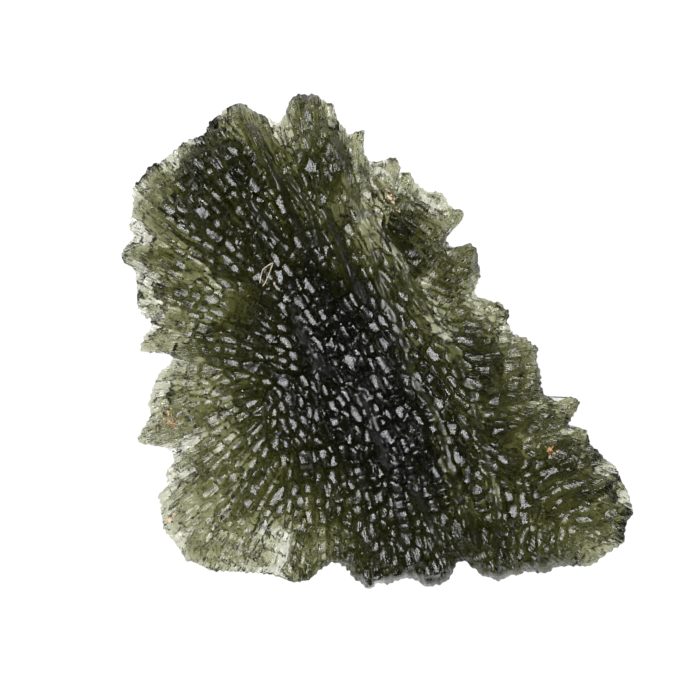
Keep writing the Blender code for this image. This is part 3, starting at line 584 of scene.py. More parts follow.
# %% [markdown]
# Some of the sculpture can't be left to chance. Long smooth crests cross the face, where it also steps
# up from one row of cups to the next. A few hollows are etched deeper than the rest. And in some places
# the face is half smooth, so more light comes through, and one hollow of that kind works as a window.

# %% Crests, hollows (x, y, radius, depth) and smooth places (x, y, radius, share)
CREST_STEP = 0.26
CREST_STEP_HALF_WIDTH = 0.5
CREST_HALF_WIDTH = 0.3
CREST_SMOOTHNESS = 0.8
CREST_STEP_REACH = 2.0
CRESTS = [
    [(-8.0, 12.8), (-7.3, 11.7), (-6.2, 9.8), (-5.4, 7.7)],
    [(-6.2, 11.2), (-4.6, 8.9), (-4.1, 6.8)],
    [(-3.6, 9.0), (-2.6, 6.5), (-2.0, 4.5), (-1.2, 3.0)],
    [(-2.7, 13.9), (-2.0, 10.8), (-1.0, 8.5), (-0.3, 6.0), (0.2, 4.0), (0.9, 2.2), (1.6, 0.6),
     (2.0, -1.2), (2.6, -2.8), (4.2, -5.2), (4.6, -7.0), (5.0, -9.0), (5.7, -11.0), (6.9, -14.0)],
    [(-0.8, 8.9), (0.8, 6.8), (2.2, 4.2), (3.5, 2.0), (4.6, 0.4), (5.4, -1.0), (5.9, -2.5),
     (6.6, -4.0), (6.9, -6.0), (7.5, -8.0), (8.0, -10.0), (8.3, -12.0), (8.2, -14.2)],
    [(-8.9, 9.6), (-8.2, 8.8), (-7.0, 7.2), (-6.3, 6.2)],
    [(-5.9, 2.2), (-5.2, 0.6), (-4.4, -1.0), (-3.4, -2.2)],
    [(-1.0, -3.6), (-0.5, -5.0), (0.2, -7.0), (0.6, -8.4)],
    [(2.4, -10.0), (3.4, -12.0), (4.4, -14.0)],
]
HOLLOW_POWER = 4
HOLLOWS = [
    (-10.3, 2.9, 2.2, 0.9), (-7.1, -13.8, 1.4, 0.7), (10.6, -7.2, 1.4, 0.9), (0.6, 11.0, 1.0, 1.2),
    (3.9, 9.2, 0.9, 0.7), (3.5, 7.0, 0.7, 0.6), (5.6, 1.0, 0.9, 0.7), (-9.3, 8.9, 1.3, 0.6),
]
SMOOTH_PLACES = [
    (-9.9, 2.8, 2.2, 0.6), (-14.6, 8.6, 1.8, 0.5), (-13.4, 5.2, 1.6, 0.45), (-14.6, 0.9, 1.4, 0.5),
    (-12.4, -4.4, 1.8, 0.4), (-12.6, -10.8, 2.2, 0.5), (-9.4, -14.2, 1.8, 0.5), (1.0, 7.4, 1.4, 0.7),
    (2.6, 5.2, 1.0, 0.6), (8.8, -2.0, 1.3, 0.5), (9.4, -7.6, 1.6, 0.5), (12.6, -10.6, 2.2, 0.55),
    (15.4, -13.2, 1.5, 0.7), (8.9, -13.0, 1.2, 0.4), (-8.6, 13.2, 1.4, 0.5), (-3.6, 11.5, 1.2, 0.4),
]


def beside_line(points, line):
    """How far each point lies to the left of the line's nearest stretch, drawn on past its ends."""
    start, along = line[:-1], np.diff(line)
    offset = points[:, None] - start[None, :]
    turned = offset * along.conj()[None, :] / np.abs(along)
    part = np.clip(turned.real / np.abs(along), 0, 1)
    nearest = np.abs(offset - part * along).argmin(axis=1)
    return turned.imag[np.arange(len(points)), nearest]


def crest_form(points):
    """How smooth the crests make the face, from 0 to 1, and the step that each makes in its height."""
    share, step = np.zeros(len(points)), np.zeros(len(points))
    for crest in CRESTS:
        line = places_of(crest)
        away = distance_to_line(points, line)
        share = np.maximum(share, CREST_SMOOTHNESS * bell(away, CREST_HALF_WIDTH))
        side = np.tanh(beside_line(points, line) / CREST_STEP_HALF_WIDTH)
        step += CREST_STEP * side * bell(away, CREST_STEP_REACH)
    return share, step


def hollow_depth(points):
    """Depth of the single hollows at each point: bowls with a flat middle."""
    depth = np.zeros(len(points))
    for x, y, radius, deepest in HOLLOWS:
        depth += deepest * bell(np.abs(points - complex(x, y)), radius, HOLLOW_POWER)
    return depth


def smooth_share(points):
    """How smooth the face is at each point, from 0 to 1: a bell of its own height in each smooth place."""
    share = np.zeros(len(points))
    for x, y, radius, most in SMOOTH_PLACES:
        share = np.maximum(share, most * bell(np.abs(points - complex(x, y)), radius))
    return share


print(len(CRESTS), "crests,", len(HOLLOWS), "hollows and", len(SMOOTH_PLACES), "smooth places")

# %% [markdown]
# A cup of the finest kind is a short trough: nearly level along the flow, and curving up at its sides.
# Where two cups meet there is a ridge. The height of the face is pulled to the floor of the nearest
# cup, which makes small terraces. Blending by bells keeps all of it one smooth surface, where cutting
# each cup out on its own would take thousands of cuts.

# %% The finest cups on a face
GRAIN_SHARPNESS = 8.5
LENGTHWISE_BEND = 0.1
CROSSWISE_BEND = 0.4
CROSSWISE_STEEPNESS = 2.8
TERRACE_SHARE = 0.86
HALFWAY_UP_A_RIDGE = 0.5


def grained(points, heights, seeds, floors, amount, level, depth):
    """The face with its finest cups. Each point blends the floors of the cups near it, by bells on
    their distance counted in cup sizes, and a ridge stands where no one cup has most of the weight.
    """
    places, flow, size, tilt = seeds

    def cups(some):
        offset = some[:, None] - places[None, :]
        turned = offset * flow.conj()[None, :]
        away = ((turned.real / GRAIN_LENGTH) ** 2 + (turned.imag / GRAIN_WIDTH) ** 2) / size**2
        bells = np.exp(-GRAIN_SHARPNESS * (away - away.min(axis=1, keepdims=True)))
        bells /= bells.sum(axis=1, keepdims=True)
        across = turned.imag**2
        bowls = LENGTHWISE_BEND * turned.real**2 + across * (CROSSWISE_BEND + CROSSWISE_STEEPNESS * across)
        bowls += (offset * tilt.conj()[None, :]).real
        return bells @ floors, (bells * bowls).sum(axis=1), 1 - (bells**2).sum(axis=1)

    pieces = zip(*[cups(some) for some in in_pieces(points)])
    floor, bowl, ridge = (np.concatenate(piece) for piece in pieces)
    terraced = heights + TERRACE_SHARE * amount * level * (floor - heights)
    return terraced + amount * (TERRACE_SHARE * bowl + depth * (ridge - HALFWAY_UP_A_RIDGE))


side_of_cup = CROSSWISE_BEND * (GRAIN_WIDTH / 2) ** 2 + CROSSWISE_STEEPNESS * (GRAIN_WIDTH / 2) ** 4
print("a cup's side is", round(side_of_cup, 3), "mm higher than its floor, before the ridge")

# %% [markdown]
# A moldavite has no flat rim: both faces slope down to a thin edge over the last millimetre or two. The
# edge itself rises and falls, because etching ate the two faces unevenly, and the slope is wider in
# some places than in others. A tooth carries on inwards as a ridge, and a notch as a groove, which is
# what ties the outline to the face.

# %% The slope to the rim
EDGE_THICKNESS = 0.5
RIM_SHARE = 0.54
RIM_WAVE_HEIGHT = 0.35
RIM_WAVES = 9
RIM_CURVE = 1.4
SLOPE_SPREAD = 0.55
MIDDLE_CUP = 0.42
TOOTH_RIDGE_HEIGHT = 0.7
TOOTH_RIDGE_REACH = 3.0


def rim_slope(points, away, width):
    """0 at the rim, rising to 1 where the slope begins, which is nearer to the rim behind a cup."""
    uneven = 1 + SLOPE_SPREAD * (read_field(UPPER_ETCHING[1], points) + MIDDLE_CUP)
    return 1 - (1 - np.clip(away / (width * uneven), 0, 1)) ** RIM_CURVE


def rim_height(points):
    """Height of the rim's middle: a share of the stone's thickness there, with slow waves round it."""
    top, bottom, _ = sounded(points)
    wave = RIM_WAVE_HEIGHT * np.sin(RIM_WAVES * np.angle(points))
    return bottom + RIM_SHARE * (top - bottom) + wave


def tooth_ridges(turn, away):
    """Ridges behind the teeth and grooves behind the notches, fading towards the middle."""
    soft = smoothed(EDGE, SOFT_EDGE)
    sticks_out = ((EDGE - soft) * outward(soft).conj()).real
    return TOOTH_RIDGE_HEIGHT * round_ring(sticks_out, turn) * bell(away, TOOTH_RIDGE_REACH)


def near_edge(points):
    """Distance of each point from the edge, and the turn of the edge point nearest to it."""
    nearest = [np.argmin(np.abs(some[:, None] - EDGE[None, :]), axis=1) for some in in_pieces(points)]
    return distance_to_line(points, CLOSED_EDGE), np.concatenate(nearest) / len(EDGE)


rim = rim_height(EDGE)
print("the rim's middle lies", round(float(rim.min()), 1), "to", round(float(rim.max()), 1), "mm up")

# %% [markdown]
# Now the two faces can be put together. Each is its sounded height, less its etching, sloping down to
# the rim, with the finest cups last. The underside is a guess, because the photograph doesn't show it:
# it gets the same etching, deeper cups, and a flat spot worn where the stone lies on the ground.

# %% The upper face and the underside
REST_LIFT = 0.3
WORN_FADE = 0.4
UNDERSIDE_SLOPE = 1.4
RELIEF_FADE = 1.0
GRAIN_FADE = 0.6
SMOOTH_RELIEF_LOSS = 0.5
FULL_RELIEF_THICKNESS = 2.8
GROOVE_DEPTH = 0.9
CUP_DEPTH = 0.55
GRAIN_DEPTH = 0.22
GRAIN_DEPTH_BELOW = 0.5


def face_relief(points, fields, smooth):
    """How far the grooves and cups lie below the sounded face; they are shallower in thin glass."""
    top, bottom, _ = sounded(points)
    depth = np.clip((top - bottom) / FULL_RELIEF_THICKNESS, 0, 1) * (1 - SMOOTH_RELIEF_LOSS * smooth)
    groove, cup = (read_field(field, points) for field in fields)
    return depth * (GROOVE_DEPTH * groove + CUP_DEPTH * cup)


def upper_form(points, turn, away):
    """The upper face without its finest cups, how many of them it has, and how level their floors
    are, both from 0 to 1. The slope to the rim comes before the etching, which fades only at the rim.
    """
    top, _, width = sounded(points)
    crest, step = crest_form(points)
    smooth = np.maximum(crest, smooth_share(points))
    rim = rim_height(points) + EDGE_THICKNESS / 2
    body = top + step + tooth_ridges(turn, away) - hollow_depth(points)
    slope, fade = rim_slope(points, away, width), np.clip(away / RELIEF_FADE, 0, 1)
    form = rim + (body - rim) * slope + face_relief(points, UPPER_ETCHING, smooth) * fade
    return form, (1 - smooth) * np.clip(away / GRAIN_FADE, 0, 1), slope


def lower_form(points, turn, away):
    """The same three of the underside, which has no etching where it is worn flat."""
    _, bottom, width = sounded(points)
    worn = bottom - REST_LIFT
    lifted = np.clip(worn / WORN_FADE, 0, 1) * (1 - smooth_share(points))
    rim = rim_height(points) - EDGE_THICKNESS / 2
    slope = rim_slope(points, away, UNDERSIDE_SLOPE * width)
    form = rim + (worn - tooth_ridges(turn, away) * lifted - rim) * slope
    form -= face_relief(points, LOWER_ETCHING, 0.0) * lifted * np.clip(away / RELIEF_FADE, 0, 1)
    return form, lifted * np.clip(away / GRAIN_FADE, 0, 1), slope


def floors_of(form, seeds):
    """Height of each cup's floor: the height of the face without cups at the cup's seed."""
    away, turn = near_edge(seeds[0])
    return form(seeds[0], turn, away)[0]


UPPER_FLOORS = floors_of(upper_form, UPPER_GRAINS)
LOWER_FLOORS = floors_of(lower_form, LOWER_GRAINS)


def upper_face(points, turn, away):
    """Heights of the upper face, with its finest cups."""
    form, amount, level = upper_form(points, turn, away)
    return grained(points, form, UPPER_GRAINS, UPPER_FLOORS, amount, level, GRAIN_DEPTH)


def underside(points, turn, away):
    """Heights of the underside: etched too, and worn flat where it rests."""
    form, amount, level = lower_form(points, turn, away)
    face = grained(points, form, LOWER_GRAINS, LOWER_FLOORS, amount, level, GRAIN_DEPTH_BELOW)
    return np.maximum(face, 0.0)


print("the cups' floors lie between", round(float(UPPER_FLOORS.min()), 1), "and",
      round(float(UPPER_FLOORS.max()), 1), "mm")

# %% [markdown]
# The stone is one piece of glass, so it is one closed mesh: the upper net, the underside's coarser net,
# and a narrow wall of triangles between the two rims. Light bends at every face of it, so a gap or a
# doubled face would show at once. Each square of a net is cut along its more level diagonal, which
# keeps ridges sharp. The mesh also carries three values that the glass reads later: how near the rim
# is, where the crests are, and a place that runs round the rim, along which its fine lines are drawn.

# %% Both faces and the wall between them as one closed mesh
LEAST_THICKNESS = 0.45
SHARP_ANGLE = 0.5
STRIAE_STRETCH = 0.18
STRIAE_REACH = 3.0


def at_heights(flat, heights):
    """x, y, z rows of points at these places and heights."""
    return np.stack([flat.real, flat.imag, heights], axis=1)


def split_cells(cells, heights):
    """Each cell as two triangles, cut between the two opposite corners that are nearer in height."""
    corner = heights[cells]
    level = np.abs(corner[:, 0] - corner[:, 2]) <= np.abs(corner[:, 1] - corner[:, 3])
    order = np.where(level[:, None], [0, 1, 2, 0, 2, 3], [1, 2, 3, 1, 3, 0])
    return np.take_along_axis(cells, order, axis=1).reshape(-1, 3)


def wall_faces(upper_rim, lower_rim):
    """Triangles between the upper rim and a lower rim with half as many points."""
    first = np.arange(len(lower_rim))
    after = (first + 1) % len(lower_rim)
    left, middle, right = upper_rim[2 * first], upper_rim[2 * first + 1], upper_rim[2 * after]
    return np.concatenate([
        np.stack([left, lower_rim[first], middle], axis=1),
        np.stack([middle, lower_rim[first], lower_rim[after]], axis=1),
        np.stack([middle, lower_rim[after], right], axis=1),
    ])


def add_object(name, points, triangles):
    """A smooth-shaded mesh object from points in millimetres and triangles, as whole arrays."""
    mesh = bpy.data.meshes.new(name)
    mesh.vertices.add(len(points))
    mesh.vertices.foreach_set("co", (points * MM).astype(np.float32).ravel())
    mesh.loops.add(triangles.size)
    mesh.loops.foreach_set("vertex_index", triangles.astype(np.int32).ravel())
    mesh.polygons.add(len(triangles))
    mesh.polygons.foreach_set("loop_start", np.arange(0, triangles.size, 3, dtype=np.int32))
    mesh.polygons.foreach_set("use_smooth", np.ones(len(triangles), dtype=bool))
    mesh.update(calc_edges=True)
    mesh.validate()
    thing = bpy.data.objects.new(name, mesh)
    bpy.context.scene.collection.objects.link(thing)
    return thing


def face_net(rings, edge):
    """Places, turns, distances to the edge and cells of one face's net, and its rim in turn order."""
    ring, turn, cells = square_net(rings)
    places = pulled_to_edge(ring, turn, rings, edge)
    away = distance_to_line(places, CLOSED_EDGE)
    outer = np.flatnonzero(ring == rings)
    away[outer] = 0.0
    return places, turn, away, cells, outer[np.argsort(turn[outer])]


def add_values(thing, name, kind, field, values):
    """Gives every point of the mesh a value of this name, from one whole array."""
    attribute = thing.data.attributes.new(name, kind, "POINT")
    attribute.data.foreach_set(field, values.astype(np.float32).ravel())


def stone():
    """The whole stone as one closed mesh, and what its heights were multiplied by to fit the frame."""
    upper, upper_turn, upper_away, upper_cells, upper_rim = face_net(NET_RINGS, EDGE)
    lower, lower_turn, lower_away, lower_cells, lower_rim = face_net(NET_RINGS // 2, EDGE[::2])
    heights = upper_face(upper, upper_turn, upper_away)
    depths = underside(lower, lower_turn, lower_away)
    inner = lower_away > EDGE_THICKNESS
    highest = upper_face(lower, lower_turn, lower_away) - LEAST_THICKNESS
    depths[inner] = np.minimum(depths, highest)[inner]
    points = np.concatenate([at_heights(upper, heights), at_heights(lower, depths)])
    scale = STONE_THICKNESS / heights.max()
    points[:, 2] *= scale
    triangles = np.concatenate([
        split_cells(upper_cells, heights),
        split_cells(lower_cells, depths)[:, ::-1] + len(upper),
        wall_faces(upper_rim, lower_rim + len(upper)),
    ])
    thing = add_object("etched_glass", points, triangles)
    thing.data.set_sharp_from_angle(angle=SHARP_ANGLE)
    turns, away = np.append(upper_turn, lower_turn), np.append(upper_away, lower_away)
    along = EDGE_LENGTH / (2 * np.pi) * np.exp(2j * np.pi * turns)
    crest = np.append(crest_form(upper)[0], np.zeros(len(lower)))
    add_values(thing, "striae", "FLOAT_VECTOR", "vector", at_heights(along, away * STRIAE_STRETCH))
    add_values(thing, "crest", "FLOAT", "value", crest)
    add_values(thing, "near_rim", "FLOAT", "value", bell(away, STRIAE_REACH))
    return thing, scale


glass_stone, HEIGHT_SCALE = stone()
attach(glass_stone, "root")
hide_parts("moldavite")
print("the stone's mesh has", len(glass_stone.data.polygons), "triangles")

# %% [markdown]
# The skin of etched glass is bright but not polished. Pits of a few hundredths of a millimetre break up
# its reflections, and near the rim fine lines of the melt stand out, like the lines of a comb. Both are
# too fine for the mesh, so they are bumps. The polish is uneven, and duller along the crests.

# %% The skin of the glass
PIT_SCALE = 6000.0
PIT_DEPTH = 0.00002
STRIAE_SCALE = 3.2
STRIAE_DEPTH = 0.00025
SMOOTH_DETAIL = 1.0
POLISH_SCALE = 2500.0
POLISH_DETAIL = 2.0
POLISH_NOISE = (0.3, 0.7)
ROUGHNESS_RANGE = (0.14, 0.32)
CREST_ROUGHNESS = 0.2


def new_material(name):
    """An empty material with a Principled shader wired to its output."""
    material = bpy.data.materials.new(name)
    material.use_nodes = True
    return material, material.node_tree.nodes, material.node_tree.links


def set_inputs(node, values):
    """Gives the node's inputs of these names their values."""
    for name, value in values.items():
        node.inputs[name].default_value = value


def noise(nodes, scale, detail):
    """A noise texture of this scale and detail."""
    node = nodes.new("ShaderNodeTexNoise")
    set_inputs(node, {"Scale": scale, "Detail": detail})
    return node


def point_value(nodes, name):
    """A node that reads a value that the mesh's points carry."""
    node = nodes.new("ShaderNodeAttribute")
    node.attribute_name = name
    return node


def skin_normal(nodes, links):
    """The normal of the skin: a bump of pits, and over it one of lines that fade away from the rim."""
    place, pits = nodes.new("ShaderNodeTexCoord"), noise(nodes, PIT_SCALE, SMOOTH_DETAIL)
    bump = nodes.new("ShaderNodeBump")
    set_inputs(bump, {"Strength": 1.0, "Distance": PIT_DEPTH})
    links.new(place.outputs["Object"], pits.inputs["Vector"])
    links.new(pits.outputs["Fac"], bump.inputs["Height"])
    lines, lines_bump = noise(nodes, STRIAE_SCALE, SMOOTH_DETAIL), nodes.new("ShaderNodeBump")
    set_inputs(lines_bump, {"Distance": STRIAE_DEPTH})
    links.new(point_value(nodes, "striae").outputs["Vector"], lines.inputs["Vector"])
    links.new(lines.outputs["Fac"], lines_bump.inputs["Height"])
    links.new(point_value(nodes, "near_rim").outputs["Fac"], lines_bump.inputs["Strength"])
    links.new(bump.outputs["Normal"], lines_bump.inputs["Normal"])
    return lines_bump.outputs["Normal"]


def skin_roughness(nodes, links):
    """The roughness of the skin: uneven all over, plus more along the crests."""
    place, polish = nodes.new("ShaderNodeTexCoord"), noise(nodes, POLISH_SCALE, POLISH_DETAIL)
    spread = nodes.new("ShaderNodeMapRange")
    set_inputs(spread, {"From Min": POLISH_NOISE[0], "From Max": POLISH_NOISE[1]})
    set_inputs(spread, {"To Min": ROUGHNESS_RANGE[0], "To Max": ROUGHNESS_RANGE[1]})
    duller = nodes.new("ShaderNodeMath")
    duller.operation = "MULTIPLY_ADD"
    duller.inputs[1].default_value = CREST_ROUGHNESS
    links.new(place.outputs["Object"], polish.inputs["Vector"])
    links.new(polish.outputs["Fac"], spread.inputs["Value"])
    links.new(point_value(nodes, "crest").outputs["Fac"], duller.inputs[0])
    links.new(spread.outputs["Result"], duller.inputs[2])
    return duller.outputs["Value"]


print("the skin's pits are", PIT_DEPTH / MM, "mm deep, and its lines", STRIAE_DEPTH / MM, "mm")

# %% [markdown]
# The glass is clear, and its colour is all inside it: light loses most blue, some red and least green
# for every millimetre it crosses. So the thin left margin is pale and the thick middle nearly black,
# with no colour painted anywhere.

# %% The glass
WHITE = (1.0, 1.0, 1.0, 1.0)
GLASS_IOR = 1.49
LIGHT_LOST_PER_MM = (0.76, 0.74, 1.16)
ABSORPTION_DENSITY = 1500.0


def glass():
    """Green natural glass: plain transmission and absorption under the etched skin."""
    material, nodes, links = new_material("moldavite_glass")
    shader = nodes["Principled BSDF"]
    set_inputs(shader, {"Base Color": WHITE, "IOR": GLASS_IOR, "Transmission Weight": 1.0})
    links.new(skin_normal(nodes, links), shader.inputs["Normal"])
    links.new(skin_roughness(nodes, links), shader.inputs["Roughness"])
    absorb = nodes.new("ShaderNodeVolumeAbsorption")
    kept = [1 - lost / MM / ABSORPTION_DENSITY for lost in LIGHT_LOST_PER_MM]
    set_inputs(absorb, {"Density": ABSORPTION_DENSITY, "Color": (*kept, 1.0)})
    links.new(absorb.outputs["Volume"], nodes["Material Output"].inputs["Volume"])
    return material


glass_stone.data.materials.append(glass())
print("one millimetre of glass lets through", [round(math.exp(-lost), 2) for lost in LIGHT_LOST_PER_MM])

# %% [markdown]
# The stone came out of sandy clay, and a little of it still sits in the cups: ochre where iron is
# rich, paler elsewhere. The larger bits are listed. Round them lie crumbs, which are scattered by a
# seeded noise that crowds them towards the middle of each patch. Every bit is a small closed lens, half
# sunk into the glass, because a flat disc would float over the cups.

# %% Clay: bits (x, y, half length, half width, bearing) and patches (x, y, radius, number of crumbs)
CLAY_RINGS = 4
CLAY_HEIGHT = 0.1
CLAY_WAVES = (3, 8)
CLAY_UNEVENNESS = 0.18
CLAY_OVAL_POINTS = 64
CLAY_SUNK_SHARE = 0.5
CLAY_ROUGHNESS = 0.9
OCHRE = (0.55, 0.32, 0.13)
PALE = (0.58, 0.44, 0.29)
CRUMB_LENGTHS = (0.04, 0.13)
CRUMB_WIDTH_SHARE = 0.7
OCHRE_CLAY = [
    (-14.1, -5.8, 0.16, 0.09, 20), (12.0, -7.5, 0.24, 0.15, 140), (-13.9, -5.3, 0.12, 0.06, 130),
    (10.0, -3.6, 0.1, 0.08, 0),
]
OCHRE_PATCHES = [(-14.0, -5.6, 0.22, 9), (12.0, -7.5, 0.22, 7)]
PALE_CLAY = [
    (-15.3, -6.2, 0.14, 0.12, 60), (-14.6, -5.5, 0.2, 0.1, 10), (-14.5, -12.5, 0.22, 0.14, 70),
    (1.1, 9.6, 0.16, 0.08, 130), (-4.5, 16.3, 0.09, 0.07, 0), (-7.1, 4.0, 0.1, 0.08, 100),
    (-10.8, 0.6, 0.07, 0.06, 0), (0.8, 10.0, 0.24, 0.12, 135), (-14.4, -5.6, 0.3, 0.2, 20),
]
PALE_PATCHES = [
    (-14.3, -5.6, 0.36, 24), (1.0, 9.8, 0.34, 12), (-14.5, -12.5, 0.25, 6), (11.9, -7.4, 0.4, 6),
]


def face_height(points):
    """Height of the finished upper face at any points on it."""
    away, turn = near_edge(points)
    return upper_face(points, turn, away) * HEIGHT_SCALE


def clay_lens(x, y, length, width, bearing, seed):
    """Points and triangles of one lens of clay: a net on an uneven oval, domed above and below."""
    ring, turn, cells = square_net(CLAY_RINGS)
    share = ring / CLAY_RINGS
    oval = length * np.cos(2 * np.pi * turn) + 1j * width * np.sin(2 * np.pi * turn)
    uneven = round_ring(ring_noise(CLAY_OVAL_POINTS, CLAY_WAVES, seed), turn)
    oval = oval * (1 + CLAY_UNEVENNESS * uneven)
    flat = complex(x, y) + oval * share * np.exp(1j * np.radians(bearing))
    height, dome = face_height(flat), CLAY_HEIGHT * np.sqrt(1 - share**2)
    sides = [at_heights(flat, height + dome), at_heights(flat, height - CLAY_SUNK_SHARE * dome)]
    faces = split_cells(cells, dome)
    return np.concatenate(sides), np.concatenate([faces, faces[:, ::-1] + len(flat)])


def crumbs(patches, seed):
    """Rows of crumbs, with normal spread about each patch's middle: place, length, width, bearing."""
    rng = np.random.default_rng(seed)
    rows = []
    for x, y, radius, count in patches:
        places = (x, y) + rng.normal(0.0, radius, (count, 2))
        lengths = rng.uniform(*CRUMB_LENGTHS, count)
        bearings = rng.uniform(0.0, 180.0, count)
        rows.append(np.column_stack([places, lengths, CRUMB_WIDTH_SHARE * lengths, bearings]))
    return np.concatenate(rows)


def clay_object(name, table, patches):
    """One object that holds every lens of a table of clay, and the crumbs of its patches."""
    points, triangles, count = [], [], 0
    for seed, row in enumerate(np.concatenate([np.array(table), crumbs(patches, len(table))])):
        some_points, some_triangles = clay_lens(*row, seed)
        points.append(some_points)
        triangles.append(some_triangles + count)
        count += len(some_points)
    return add_object(name, np.concatenate(points), np.concatenate(triangles))


def plain_material(name, colour, roughness):
    """A material of one colour that lets no light through."""
    material, nodes, _ = new_material(name)
    set_inputs(nodes["Principled BSDF"], {"Base Color": (*colour, 1.0), "Roughness": roughness})
    return material


ochre = clay_object("ochre_clay", OCHRE_CLAY, OCHRE_PATCHES)
pale = clay_object("pale_clay", PALE_CLAY, PALE_PATCHES)
ochre.data.materials.append(plain_material("ochre_clay", OCHRE, CLAY_ROUGHNESS))
pale.data.materials.append(plain_material("pale_clay", PALE, CLAY_ROUGHNESS))
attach(ochre, "root")
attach(pale, "root")
print("the clay has", len(ochre.data.polygons), "ochre and", len(pale.data.polygons), "pale triangles")

# %% [markdown]
# One hair has caught on the upper face. It is a thin tube, because a hair has a round section that
# catches the light along one side. It follows the face a little above it, and as it is springy it sinks
# less into a cup than the face does.

# %% A hair
HAIR = [(-8.1, 4.0), (-7.9, 4.9), (-7.2, 5.4), (-7.4, 4.8), (-7.7, 4.1), (-7.9, 3.8)]
HAIR_RADIUS = 0.035
HAIR_LIFT = 0.12
HAIR_SIDES = 6
HAIR_SPRING = 0.3
HAIR_COLOUR = (0.52, 0.44, 0.32)
HAIR_ROUGHNESS = 0.5


def tube(middle, radius, sides):
    """A tube round a line of x, y, z rows: a ring at each row, square to the line there."""
    ahead = np.gradient(middle, axis=0)
    ahead /= np.linalg.norm(ahead, axis=1, keepdims=True)
    side = np.cross(ahead, [0.0, 0.0, 1.0])
    side /= np.linalg.norm(side, axis=1, keepdims=True)
    up = np.cross(side, ahead)
    turn = np.arange(sides) / sides * 2 * np.pi
    around = np.cos(turn)[None, :, None] * side[:, None] + np.sin(turn)[None, :, None] * up[:, None]
    points = (middle[:, None] + radius * around).reshape(-1, 3)
    row, column = np.meshgrid(np.arange(len(middle) - 1), np.arange(sides), indexing="ij")
    a, b = (row * sides + column).ravel(), (row * sides + (column + 1) % sides).ravel()
    sheet = np.concatenate([
        np.stack([a, b, b + sides], axis=1),
        np.stack([a, b + sides, a + sides], axis=1),
    ])
    fan = np.arange(1, sides - 1)
    start = np.stack([np.zeros_like(fan), fan + 1, fan], axis=1)
    end = np.stack([np.zeros_like(fan), fan, fan + 1], axis=1) + len(points) - sides
    return points, np.concatenate([sheet, start, end])


def hair():
    """The hair: a curve through its points, lifted off the face and drawn as a tube."""
    flat = curve_through(places_of(HAIR))[: CURVE_STEPS * (len(HAIR) - 1) + 1]
    face = face_height(flat)
    ahead = np.maximum.accumulate(face[::-1])[::-1]
    height = face + HAIR_SPRING * (ahead - face) + HAIR_LIFT
    return add_object("hair", *tube(at_heights(flat, height), HAIR_RADIUS, HAIR_SIDES))


caught_hair = hair()
caught_hair.data.materials.append(plain_material("hair", HAIR_COLOUR, HAIR_ROUGHNESS))
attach(caught_hair, "root")
print("the hair has", len(caught_hair.data.polygons), "triangles")

# %% [markdown]
# The stone was laid on a white, lit surface, as on a light table: nothing else shows how clear its thin
# parts are. So the floor is pale and glows a little. It takes no shadow, like the photograph's.

# %% Floor
FLOOR_HALF_SIZE = 0.6
FLOOR_GREY = 0.08
FLOOR_GLOW = 0.95


def floor():
    """A pale floor that glows a little, as a light table does, so that thin glass is lit from below."""
    points = np.array([(-1, -1, 0), (1, -1, 0), (1, 1, 0), (-1, 1, 0)]) * FLOOR_HALF_SIZE / MM
    thing = add_object("floor", points.astype(float), np.array([(0, 1, 2), (0, 2, 3)]))
    material = plain_material("pale_floor", (FLOOR_GREY, FLOOR_GREY, FLOOR_GREY), 1.0)
    glow = {"Specular IOR Level": 0.0, "Emission Color": WHITE, "Emission Strength": FLOOR_GLOW}
    set_inputs(material.node_tree.nodes["Principled BSDF"], glow)
    thing.data.materials.append(material)
    return thing


floor()
print("the floor is", 2 * FLOOR_HALF_SIZE, "m wide")

# %% [markdown]
# The bright dashes on the cups' floors are reflections of a broad soft lamp straight overhead, so there
# is one softbox above the stone. A low, weak card beyond its lower edge puts a little grey on the slopes
# that face it. Each lamp is set by how bright it looks, and its power is worked out from its size.

# %% Light: name, place, size, brightness and tint
LAMPS = [
    ("overhead_softbox", (0.0, 0.0, 0.62), 0.5, 10.5, (0.96, 0.96, 1.0)),
    ("low_card", (0.0, -0.5, 0.09), 0.3, 0.25, (1.0, 1.0, 1.0)),
]


def softbox(name, place, size, radiance, tint):
    """A square area lamp that faces the stone, with its power worked out from how bright it looks."""
    lamp = bpy.data.lights.new(name, "AREA")
    lamp.size = size
    lamp.energy = radiance * math.pi * size**2
    lamp.color = tint
    thing = bpy.data.objects.new(name, lamp)
    thing.location = place
    thing.rotation_euler = (-Vector(place)).to_track_quat("-Z", "Y").to_euler()
    bpy.context.scene.collection.objects.link(thing)
    return thing


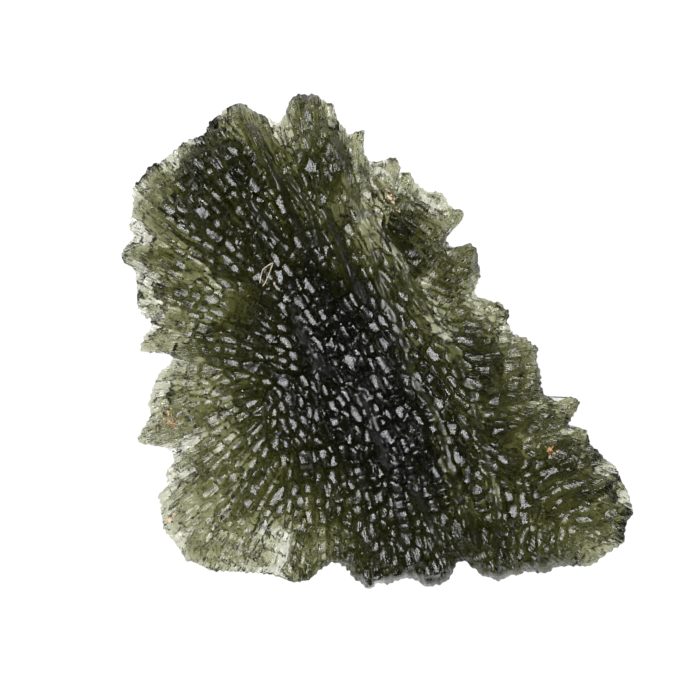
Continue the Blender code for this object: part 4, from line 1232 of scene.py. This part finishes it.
lamps = [softbox(*row) for row in LAMPS]
print("lamp power in watts:", [round(lamp.data.energy, 1) for lamp in lamps])

# %% [markdown]
# The rest of the room is what the slopes mirror. It is grey near the horizon and nearly black overhead,
# which keeps the walls of the cups dark next to their bright floors.

# %% The room round the stone: height and grey
SKY_GREYS = [(0.0, 0.4), (0.2, 0.12), (0.5, 0.01)]


def sky():
    """A room that is bright low down and dark overhead, so that reflections have contrast."""
    world = bpy.data.worlds.new("studio")
    bpy.context.scene.world = world
    world.use_nodes = True
    nodes, links = world.node_tree.nodes, world.node_tree.links
    place = nodes.new("ShaderNodeTexCoord")
    parts = nodes.new("ShaderNodeSeparateXYZ")
    ramp = nodes.new("ShaderNodeValToRGB")
    stops = ramp.color_ramp.elements
    for stop, (height, grey) in zip([stops[0], stops.new(SKY_GREYS[1][0]), stops[-1]], SKY_GREYS):
        stop.position = height
        stop.color = (grey, grey, grey, 1.0)
    links.new(place.outputs["Generated"], parts.inputs["Vector"])
    links.new(parts.outputs["Z"], ramp.inputs["Fac"])
    links.new(ramp.outputs["Color"], nodes["Background"].inputs["Color"])


sky()
print("the room goes from grey", SKY_GREYS[0][1], "at the horizon to", SKY_GREYS[-1][1], "overhead")

# %% [markdown]
# The camera looks straight down through a long lens, as it did in the photograph, so the teeth keep
# their true outline and no side of the stone leans into view.

# %% Camera
CAMERA_CENTRE = Vector((-0.00189, -0.0006, 0.0025))
CAMERA_HEIGHT = 0.184
VIEW_LENS = 135.0
SENSOR_WIDTH = 36.0
NEAREST_SEEN = 0.001

camera = bpy.data.objects.new("camera", bpy.data.cameras.new("camera"))
camera.data.lens = VIEW_LENS
camera.data.sensor_width = SENSOR_WIDTH
camera.data.clip_start = NEAREST_SEEN
camera.location = CAMERA_CENTRE + Vector((0.0, 0.0, CAMERA_HEIGHT))
bpy.context.scene.collection.objects.link(camera)
bpy.context.scene.camera = camera
bpy.context.scene.view_settings.view_transform = "Standard"
print("the picture is", round(CAMERA_HEIGHT * SENSOR_WIDTH / VIEW_LENS / MM), "mm wide at the stone")
